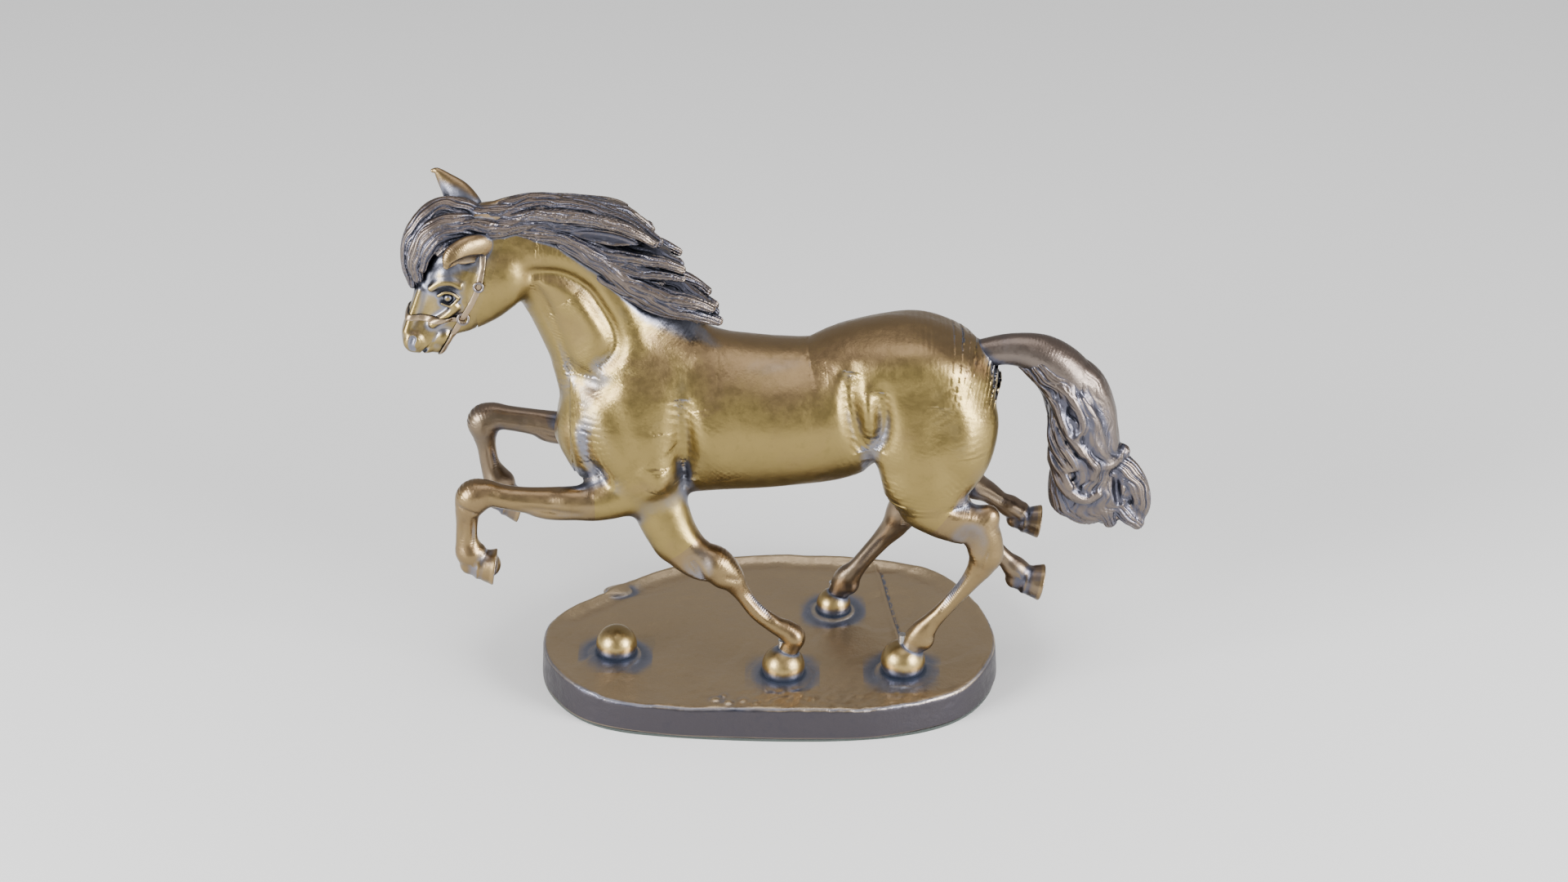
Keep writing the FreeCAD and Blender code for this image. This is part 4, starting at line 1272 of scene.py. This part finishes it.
def bronze(name, colour, reflection_and_cloud_brown, patina, recess, gloss=0.36, worn=0.5, silver=0.3, grain=1.0, wall=None):
    """Cast and patinated bronze.

    It is golden where it is rubbed, brown on top where a dark reflection from above is painted in, darker
    underneath and in broad hollows where shade is painted in, and silvery blue-grey with patina towards
    the recesses.
    """
    finish = Finish(name)
    narrow, broad, edge = finish.wear_and_shade()
    cloud = finish.noise(CLOUD_SCALE, 5, 0.6, 0.5)
    fleck = finish.noise(FLECK_SCALE, 4, 0.65)
    facing = finish.nodes.new("ShaderNodeNewGeometry").outputs["Normal"]
    upward = finish.nodes.new("ShaderNodeSeparateXYZ")
    finish.join(facing, upward.inputs[0])
    lift = finish.sum("ADD", upward.outputs[2],
                      finish.sum("MULTIPLY", finish.sum("SUBTRACT", cloud, 0.5), 0.7))
    # painted reflection: faces that look up turn towards the brown, standing in for a dark reflection from
    # above; the cloud noise in lift breaks up its edge
    base = finish.mix(finish.span(lift, 0.25, 0.85, 0.0, 0.85), colour, reflection_and_cloud_brown)
    base = finish.mix(finish.span(cloud, 0.5, 0.7, 0.0, 0.3), base, reflection_and_cloud_brown)
    darker = tuple(0.62 * c for c in colour)
    base = finish.mix(finish.span(fleck, 0.52, 0.74, 0.0, 0.28), base, darker)
    shaded = tuple(0.48 * c for c in colour)
    # painted shade: faces that look down are darkened towards the shaded copy of the colour
    base = finish.mix(finish.span(lift, -0.75, 0.05, 0.8, 0.0), base, shaded)
    # painted shade: broad hollows are darkened towards the shaded copy of the colour
    base = finish.mix(finish.span(broad, 0.3, 0.95, 0.6, 0.0), base, shaded)
    hollow = finish.sum("MULTIPLY", narrow, finish.sum("ADD", finish.sum("MULTIPLY", broad, 0.6), 0.4))
    ragged = finish.sum("ADD", hollow, finish.sum("MULTIPLY", finish.sum("SUBTRACT", cloud, 0.5), 0.5))
    greyed = finish.sum("ADD", finish.span(ragged, 0.45, 1.0, 0.95, 0.0), silver)
    base = finish.mix(finish.span(greyed, 0.1, 1.0, 0.0, 0.92), base, patina)
    if wall:
        base = finish.mix(finish.span(lift, 0.7, 0.35, 0.0, 0.9), base, wall)
    rubbed = tuple(min(1.0, 1.5 * c) for c in colour)
    base = finish.mix(finish.span(edge, 0.5, 0.95, 0.0, worn), base, rubbed)
    deep = finish.span(hollow, 0.12, 0.72, 1.0, 0.0)
    base = finish.mix(deep, base, recess)
    finish.join(base, finish.shader.inputs["Base Color"])
    finish.shader.inputs["Metallic"].default_value = 1.0
    rough = finish.sum("ADD", finish.span(fleck, 0.3, 0.75, gloss - 0.05, gloss + 0.08),
                       finish.sum("MULTIPLY", deep, 0.2))
    finish.join(rough, finish.shader.inputs["Roughness"])
    coarse = finish.bump(finish.noise(COARSE_GRAIN, 4, 0.6), 0.22 * grain, 0.0016)
    normal = finish.bump(finish.noise(FINE_GRAIN, 3, 0.6), 0.12 * grain, 0.0005, coarse)
    finish.join(normal, finish.shader.inputs["Normal"])
    return finish.material


def machined(name, colour):
    """Turned and rolled steel fixings."""
    finish = Finish(name)
    ring = finish.noise(900, 2, 0.5, 0.0, (1.0, 1.0, 0.05))
    finish.join(finish.mix(finish.span(ring, 0.4, 0.7), colour, tuple(0.7 * c for c in colour)),
                finish.shader.inputs["Base Color"])
    finish.shader.inputs["Metallic"].default_value = 1.0
    finish.join(finish.span(ring, 0.3, 0.7, 0.28, 0.42), finish.shader.inputs["Roughness"])
    finish.join(finish.bump(ring, 0.2, 0.0003), finish.shader.inputs["Normal"])
    return finish.material


def pressed_felt(name, colour):
    """Pressed wool felt."""
    finish = Finish(name)
    fibre = finish.noise(1400, 6, 0.75, 1.5)
    cloud = finish.noise(60, 4)
    base = finish.mix(finish.span(fibre, 0.35, 0.7), colour, tuple(1.7 * c for c in colour))
    finish.join(finish.mix(finish.span(cloud, 0.4, 0.7, 0, 0.4), base, tuple(0.6 * c for c in colour)),
                finish.shader.inputs["Base Color"])
    finish.shader.inputs["Roughness"].default_value = 0.95
    finish.shader.inputs["Sheen Weight"].default_value = 0.3
    finish.join(finish.bump(fibre, 0.6, 0.0006), finish.shader.inputs["Normal"])
    return finish.material


def studio_floor(name, colour):
    """A plain pale floor."""
    finish = Finish(name)
    finish.shader.inputs["Base Color"].default_value = (*colour, 1.0)
    finish.shader.inputs["Roughness"].default_value = 0.9
    return finish.material


# ---- what a user would change --------------------------------------------------------------------
class CastingSettings(bpy.types.PropertyGroup):
    body_cell: FloatProperty(name="Body detail",
                             description="Mesh cell of the body and neck, in millimetres",
                             default=1.15, min=0.5, max=4.0)
    limb_cell: FloatProperty(name="Leg detail", description="Mesh cell of the legs, in millimetres",
                             default=0.7, min=0.3, max=3.0)
    head_cell: FloatProperty(name="Head detail", description="Mesh cell of the head, in millimetres",
                             default=0.55, min=0.3, max=3.0)
    hair_cell: FloatProperty(name="Hair detail",
                             description="Mesh cell of the mane and tail, in millimetres",
                             default=0.62, min=0.3, max=3.0)
    plinth_cell: FloatProperty(name="Plinth detail",
                               description="Mesh cell of the plinth, in millimetres",
                               default=1.2, min=0.5, max=4.0)
    relief: FloatProperty(name="Plinth relief", description="How rough the modelled ground is",
                          default=1.0, min=0.0, max=2.0)


def colour_prop(name, description, *value):
    return FloatVectorProperty(name=name, description=description, subtype="COLOR", size=3, min=0,
                               max=1, default=value)


class FinishSettings(bpy.types.PropertyGroup):
    body: colour_prop("Body bronze", "The golden bronze of the body", 0.27, 0.20, 0.072)
    # painted reflection: the brown laid on the body's up-facing surfaces, standing in for a dark
    # reflection from above; it also colours random patches
    body_reflection_and_cloud_brown: colour_prop("Body brown", "The brown on top of the body", 0.22, 0.145, 0.08)
    hair: colour_prop("Hair bronze", "The bronze of the mane and tail", 0.23, 0.17, 0.105)
    plinth: colour_prop("Plinth bronze", "The bronze of the plinth", 0.50, 0.38, 0.21)
    # painted reflection: the brown laid on the plinth's up-facing surfaces, standing in for a dark
    # reflection from above; it also colours random patches
    plinth_reflection_and_cloud_brown: colour_prop("Plinth brown", "The brown on top of the plinth", 0.38, 0.285, 0.185)
    plinth_wall: colour_prop("Plinth wall", "The dark blue-grey patina on the plinth's side", 0.028,
                             0.034, 0.062)
    hair_patina: colour_prop("Hair patina", "The grey patina of the mane and tail", 0.085, 0.09, 0.125)
    dome: colour_prop("Boss bronze", "The brighter bronze of the bosses", 0.42, 0.31, 0.13)
    patina: colour_prop("Patina", "The silvery blue-grey patina", 0.20, 0.21, 0.265)
    leg: colour_prop("Leg bronze", "The browner bronze of the legs", 0.235, 0.165, 0.078)
    ring: colour_prop("Ring patina", "The blue-grey patina round the bosses", 0.085, 0.10, 0.14)
    recess: colour_prop("Recess", "The dark patina in the deepest recesses", 0.022, 0.024, 0.032)
    steel: colour_prop("Steel", "Studs, washers, nuts and dowels", 0.55, 0.56, 0.58)
    felt: colour_prop("Felt", "The felt under the plinth", 0.025, 0.035, 0.03)
    gloss: FloatProperty(name="Roughness", description="How dull the bronze is", subtype="FACTOR",
                         min=0.1, max=0.9,
                         default=0.34)


class StudioSettings(bpy.types.PropertyGroup):
    floor: FloatVectorProperty(name="Floor", description="The floor's colour", subtype="COLOR", size=3,
                               min=0, max=1,
                               default=(0.8, 0.8, 0.8))
    surround: FloatProperty(name="Surround", description="Brightness of the pale surround",
                            default=0.52, min=0, max=4)
    key: FloatProperty(name="Side light", description="Power of the left soft box", unit="POWER",
                       default=78, min=0)
    fill: FloatProperty(name="Fill light", description="Power of the right soft box", unit="POWER",
                        default=74, min=0)
    top: FloatProperty(name="Top light", description="Power of the overhead soft box", unit="POWER",
                       default=10, min=0)
    elevation: FloatProperty(name="Camera height", description="The camera's angle above the horizon",
                             subtype="ANGLE", default=math.radians(30), min=0, max=1.5)
    distance: FloatProperty(name="Camera distance", description="From the camera to what it looks at",
                            unit="LENGTH", default=2.2667, min=0.3)
    lens: FloatProperty(name="Lens", description="The camera's focal length", subtype="DISTANCE_CAMERA",
                        default=85, min=10)


def settings():
    scene = bpy.context.scene
    return scene.horse_casting, scene.horse_finish, scene.horse_studio


FINISHES = {}


def finish_for(kind):
    """The material of one kind of metal, made once."""
    if kind in FINISHES:
        return FINISHES[kind]
    look = settings()[1]
    gloss = look.gloss
    old = (tuple(look.patina), tuple(look.recess))
    soft_old = (tuple(look.patina), tuple(look.ring))
    leg = tuple(look.leg)
    # painted reflection: the brown for up-facing surfaces, also used for random patches
    brown = tuple(look.body_reflection_and_cloud_brown)
    makers = {
        "body": lambda: bronze("body_bronze", tuple(look.body), brown, *old, gloss, 0.4, 0.06),
        "head": lambda: bronze("head_bronze", tuple(look.body), brown, *old, gloss - 0.02, 0.5, 0.2),
        "leg": lambda: bronze("leg_bronze", leg, brown, *old, gloss - 0.02, 0.5, 0.16),
        # painted shade: the legs behind get a darker, greyer copy of the leg bronze
        "leg_in_painted_shade": lambda: bronze("painted_shade_leg_bronze", leg, brown, tuple(look.hair_patina), old[1], gloss,
                                  0.5, 0.45),
        "hair": lambda: bronze("hair_bronze", tuple(look.hair), brown, tuple(look.hair_patina), old[1],
                               gloss, 0.4, 0.55, 1.3),
        "plinth": lambda: bronze("plinth_bronze", tuple(look.plinth), tuple(look.plinth_reflection_and_cloud_brown),
                                 *soft_old, gloss + 0.04, 0.5, 0.12, 2.2,
                                 tuple(look.plinth_wall)),
        "dome": lambda: bronze("boss_bronze", tuple(look.dome), leg, *soft_old, gloss, 0.5, 0.1),
        "halter": lambda: bronze("halter_bronze", tuple(look.hair), brown, *old, gloss, 0.8, 0.4),
        "steel": lambda: machined("turned_steel", tuple(look.steel)),
        "felt": lambda: pressed_felt("pressed_felt", tuple(look.felt)),
        "floor": lambda: studio_floor("studio_floor", tuple(settings()[2].floor)),
    }
    FINISHES[kind] = makers[kind]()
    return FINISHES[kind]


# ---- operators -----------------------------------------------------------------------------------
class HORSE_OT_trunk(bpy.types.Operator):
    """Model the body, with the stumps that the legs, neck and tail are set on"""

    bl_idname = "horse.trunk"
    bl_label = "Body"

    def execute(self, context):
        shape = Clay().add(TRUNK_BODY)
        for limb in LIMBS.values():
            shape.add(limb.stub(), limb.soft)
        cut = Sunk(Whole(shape), NECK_SEAM)
        cell = settings()[0].body_cell
        cast("body_casting", Whole(cut), (-142, -78, 72), (146, 54, 246), cell, ["torso_casting"],
             "body_bronze", finish_for("body"))
        return {"FINISHED"}


class HORSE_OT_neck(bpy.types.Operator):
    """Model the neck"""

    bl_idname = "horse.neck"
    bl_label = "Neck"

    def execute(self, context):
        joined = Clay().add(TRUNK_BODY).add(HEAD, 7)
        back = Plane(NECK_SEAM.point, -NECK_SEAM.normal)
        shape = Sunk(Sunk(Whole(joined), back), HEAD_SEAM)
        cast("neck", Whole(shape), (-172, -56, 178), (-26, 32, 316), settings()[0].body_cell * 0.8,
             ["neck_casting"],
             "body_bronze", finish_for("body"))
        return {"FINISHED"}


class HORSE_OT_head(bpy.types.Operator):
    """Model the head and both ears"""

    bl_idname = "horse.head"
    bl_label = "Head and ears"

    def execute(self, context):
        cell = settings()[0].head_cell
        joined = Clay().add(TRUNK_BODY).add(HEAD, 7)
        back = Plane(HEAD_SEAM.point, -HEAD_SEAM.normal)
        keep = Clay().add(HEAD).add(Ball((-160, -14, 283), (26, 22, 26)), 1)
        shape = Sunk(Around(Whole(joined), Whole(keep), 2.0), back)
        cast("head", Whole(shape), (-226, -62, 210), (-120, 20, 322), cell, ["head_casting"],
             "body_bronze", finish_for("head"))
        for name, form, node in (("ear_near", NEAR_EAR, "ear_near"), ("ear_far", FAR_EAR, "ear_far")):
            cast(name + "_shell", form, *extent(form), cell, [node], "body_bronze", finish_for("leg"))
        return {"FINISHED"}


class HORSE_OT_legs(bpy.types.Operator):
    """Model the seven legs"""

    bl_idname = "horse.legs"
    bl_label = "Legs"

    def execute(self, context):
        for name, limb in LIMBS.items():
            shape = limb.piece()
            # painted shade: the far legs and the raised near hind leg behind them take the shaded copy of
            # the leg bronze
            metal = finish_for("leg_in_painted_shade" if "_far" in name or name == "hindleg_near_raised" else "leg")
            cast(name + "_leg", Whole(shape), *extent(shape), settings()[0].limb_cell, [name],
                 "body_bronze", metal)
        return {"FINISHED"}


class HORSE_OT_hair(bpy.types.Operator):
    """Model the tail, the three masses of the mane and the forelock"""

    bl_idname = "horse.hair"
    bl_label = "Mane and tail"

    def execute(self, context):
        cell = settings()[0].hair_cell
        masses = [("tail_root", DOCK, "tail_dock"), ("tail_hair", TAIL, "tail_switch"),
                  ("mane_upper_hair", CREST, "mane_crest"),
                  ("mane_middle_hair", MIDDLE, "mane_middle"), ("mane_lower_hair", LOWER, "mane_lower"),
                  ("forelock_hair", FRINGE, "forelock")]
        for name, form, node in masses:
            cast(name, form, *extent(form), cell, [node], "hair_bronze", finish_for("hair"))
        return {"FINISHED"}


class HORSE_OT_halter(bpy.types.Operator):
    """Model the halter's straps and rings"""

    bl_idname = "horse.halter"
    bl_label = "Halter"

    def execute(self, context):
        metal = finish_for("halter")
        cast("noseband", NOSEBAND, NOSEBAND.low, NOSEBAND.high, 0.45, ["halter_noseband"],
             "halter_bronze", metal)
        for side, word in ((-1, "near"), (1, "far")):
            strap = CHEEKS[side]
            cast(f"cheek_strap_{word}", strap, strap.low, strap.high, 0.45, ["halter_cheek_strap"],
                 "halter_bronze", metal)
            ring = hoop(f"halter_ring_{word}", skin_point(-179, 242.5, side, 1.6), (0.1, side, 0.25),
                        3.2, 0.85, metal)
            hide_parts("halter_rings")
            buckle = hoop(f"halter_buckle_{word}", skin_point(-169, 264, side, 1.8), (0.0, side, 0.1),
                          2.7, 0.8, metal)
            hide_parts("halter_cheek_strap")
        return {"FINISHED"}


class HORSE_OT_plinth(bpy.types.Operator):
    """Model the plinth and its four bosses"""

    bl_idname = "horse.plinth"
    bl_label = "Plinth"

    def execute(self, context):
        sizes = settings()[0]
        form = plinth_form(sizes.relief)
        cast("plinth", form, (-150, -98, -FLOOR_BELOW - 3), (150, 98, 5), sizes.plinth_cell,
             ["base_casting"],
             "base_bronze", finish_for("plinth"))
        for name, spec in DOMES.items():
            boss = dome_form(*spec)
            cast(name + "_boss", boss, *extent(boss), sizes.limb_cell, [name], "base_bronze",
                 finish_for("dome"))
        return {"FINISHED"}


class HORSE_OT_fixings(bpy.types.Operator):
    """Finish the felt and the steel fixings, which stay as they were made"""

    bl_idname = "horse.fixings"
    bl_label = "Felt and fixings"

    def execute(self, context):
        for node in ("mounting_studs", "stud_washers", "stud_nuts", "joint_dowels"):
            self.finish(node, finish_for("steel"))
        self.finish("base_felt", finish_for("felt"))
        return {"FINISHED"}

    @staticmethod
    def finish(node, material):
        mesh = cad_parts[node].data
        mesh.materials.clear()
        mesh.materials.append(material)


class HORSE_OT_studio(bpy.types.Operator):
    """Set up the floor, the lights and the camera"""

    bl_idname = "horse.studio"
    bl_label = "Studio"

    def execute(self, context):
        scene = context.scene
        studio = settings()[2]
        size = 30.0
        mesh = bpy.data.meshes.new("floor")
        mesh.from_pydata([(-size, -size, 0), (size, -size, 0), (size, size, 0), (-size, size, 0)], [],
                         [(0, 1, 2, 3)])
        mesh.materials.append(finish_for("floor"))
        floor = bpy.data.objects.new("floor", mesh)
        scene.collection.objects.link(floor)
        world = bpy.data.worlds.new("surround")
        world.use_nodes = True
        back = world.node_tree.nodes["Background"]
        back.inputs["Color"].default_value = (1, 1, 1, 1)
        back.inputs["Strength"].default_value = studio.surround
        scene.world = world
        self.soft_box("left_box", (-1.6, -1.1, 0.8), 1.0, studio.key)
        self.soft_box("right_box", (1.6, -1.0, 0.7), 0.9, studio.fill)
        self.soft_box("top_box", (0.1, -0.2, 1.8), 1.2, studio.top)
        camera = bpy.data.cameras.new("camera")
        camera.lens = studio.lens
        aim = Vector((0.010, 0.0, 0.161))
        turn = studio.elevation
        eye = bpy.data.objects.new("camera", camera)
        eye.location = aim + Vector((0, -math.cos(turn), math.sin(turn))) * studio.distance
        eye.rotation_euler = (aim - eye.location).to_track_quat("-Z", "Y").to_euler()
        scene.collection.objects.link(eye)
        scene.camera = eye
        return {"FINISHED"}

    @staticmethod
    def soft_box(name, place, size, power):
        light = bpy.data.lights.new(name, "AREA")
        light.shape = "SQUARE"
        light.size = size
        light.energy = power
        lamp = bpy.data.objects.new(name, light)
        lamp.location = place
        lamp.rotation_euler = (Vector((0, 0, 0.18)) - Vector(place)).to_track_quat("-Z", "Y").to_euler()
        bpy.context.scene.collection.objects.link(lamp)


class HORSE_PT_panel(bpy.types.Panel):
    """The statue's steps, in order"""

    bl_idname = "HORSE_PT_panel"
    bl_label = "Bronze Horse"
    bl_space_type = "VIEW_3D"
    bl_region_type = "UI"
    bl_category = "Bronze Horse"

    def draw(self, context):
        for step in STEPS:
            self.layout.operator(step.bl_idname)
        for group in (context.scene.horse_casting, context.scene.horse_finish,
                      context.scene.horse_studio):
            for key in group.bl_rna.properties.keys():
                if key not in ("rna_type", "name"):
                    self.layout.prop(group, key)


GROUPS = (CastingSettings, FinishSettings, StudioSettings)
STEPS = (HORSE_OT_plinth, HORSE_OT_trunk, HORSE_OT_neck, HORSE_OT_head, HORSE_OT_legs, HORSE_OT_hair,
         HORSE_OT_halter,
         HORSE_OT_fixings, HORSE_OT_studio)


def register():
    for group in GROUPS + STEPS + (HORSE_PT_panel,):
        bpy.utils.register_class(group)
    bpy.types.Scene.horse_casting = PointerProperty(type=CastingSettings)
    bpy.types.Scene.horse_finish = PointerProperty(type=FinishSettings)
    bpy.types.Scene.horse_studio = PointerProperty(type=StudioSettings)


def unregister():
    del bpy.types.Scene.horse_studio
    del bpy.types.Scene.horse_finish
    del bpy.types.Scene.horse_casting
    for group in reversed(GROUPS + STEPS + (HORSE_PT_panel,)):
        bpy.utils.unregister_class(group)


def main():
    register()
    bpy.ops.horse.plinth()
    bpy.ops.horse.trunk()
    bpy.ops.horse.neck()
    bpy.ops.horse.head()
    bpy.ops.horse.legs()
    bpy.ops.horse.hair()
    bpy.ops.horse.halter()
    bpy.ops.horse.fixings()
    bpy.ops.horse.studio()


if __name__ == "__main__":
    main()
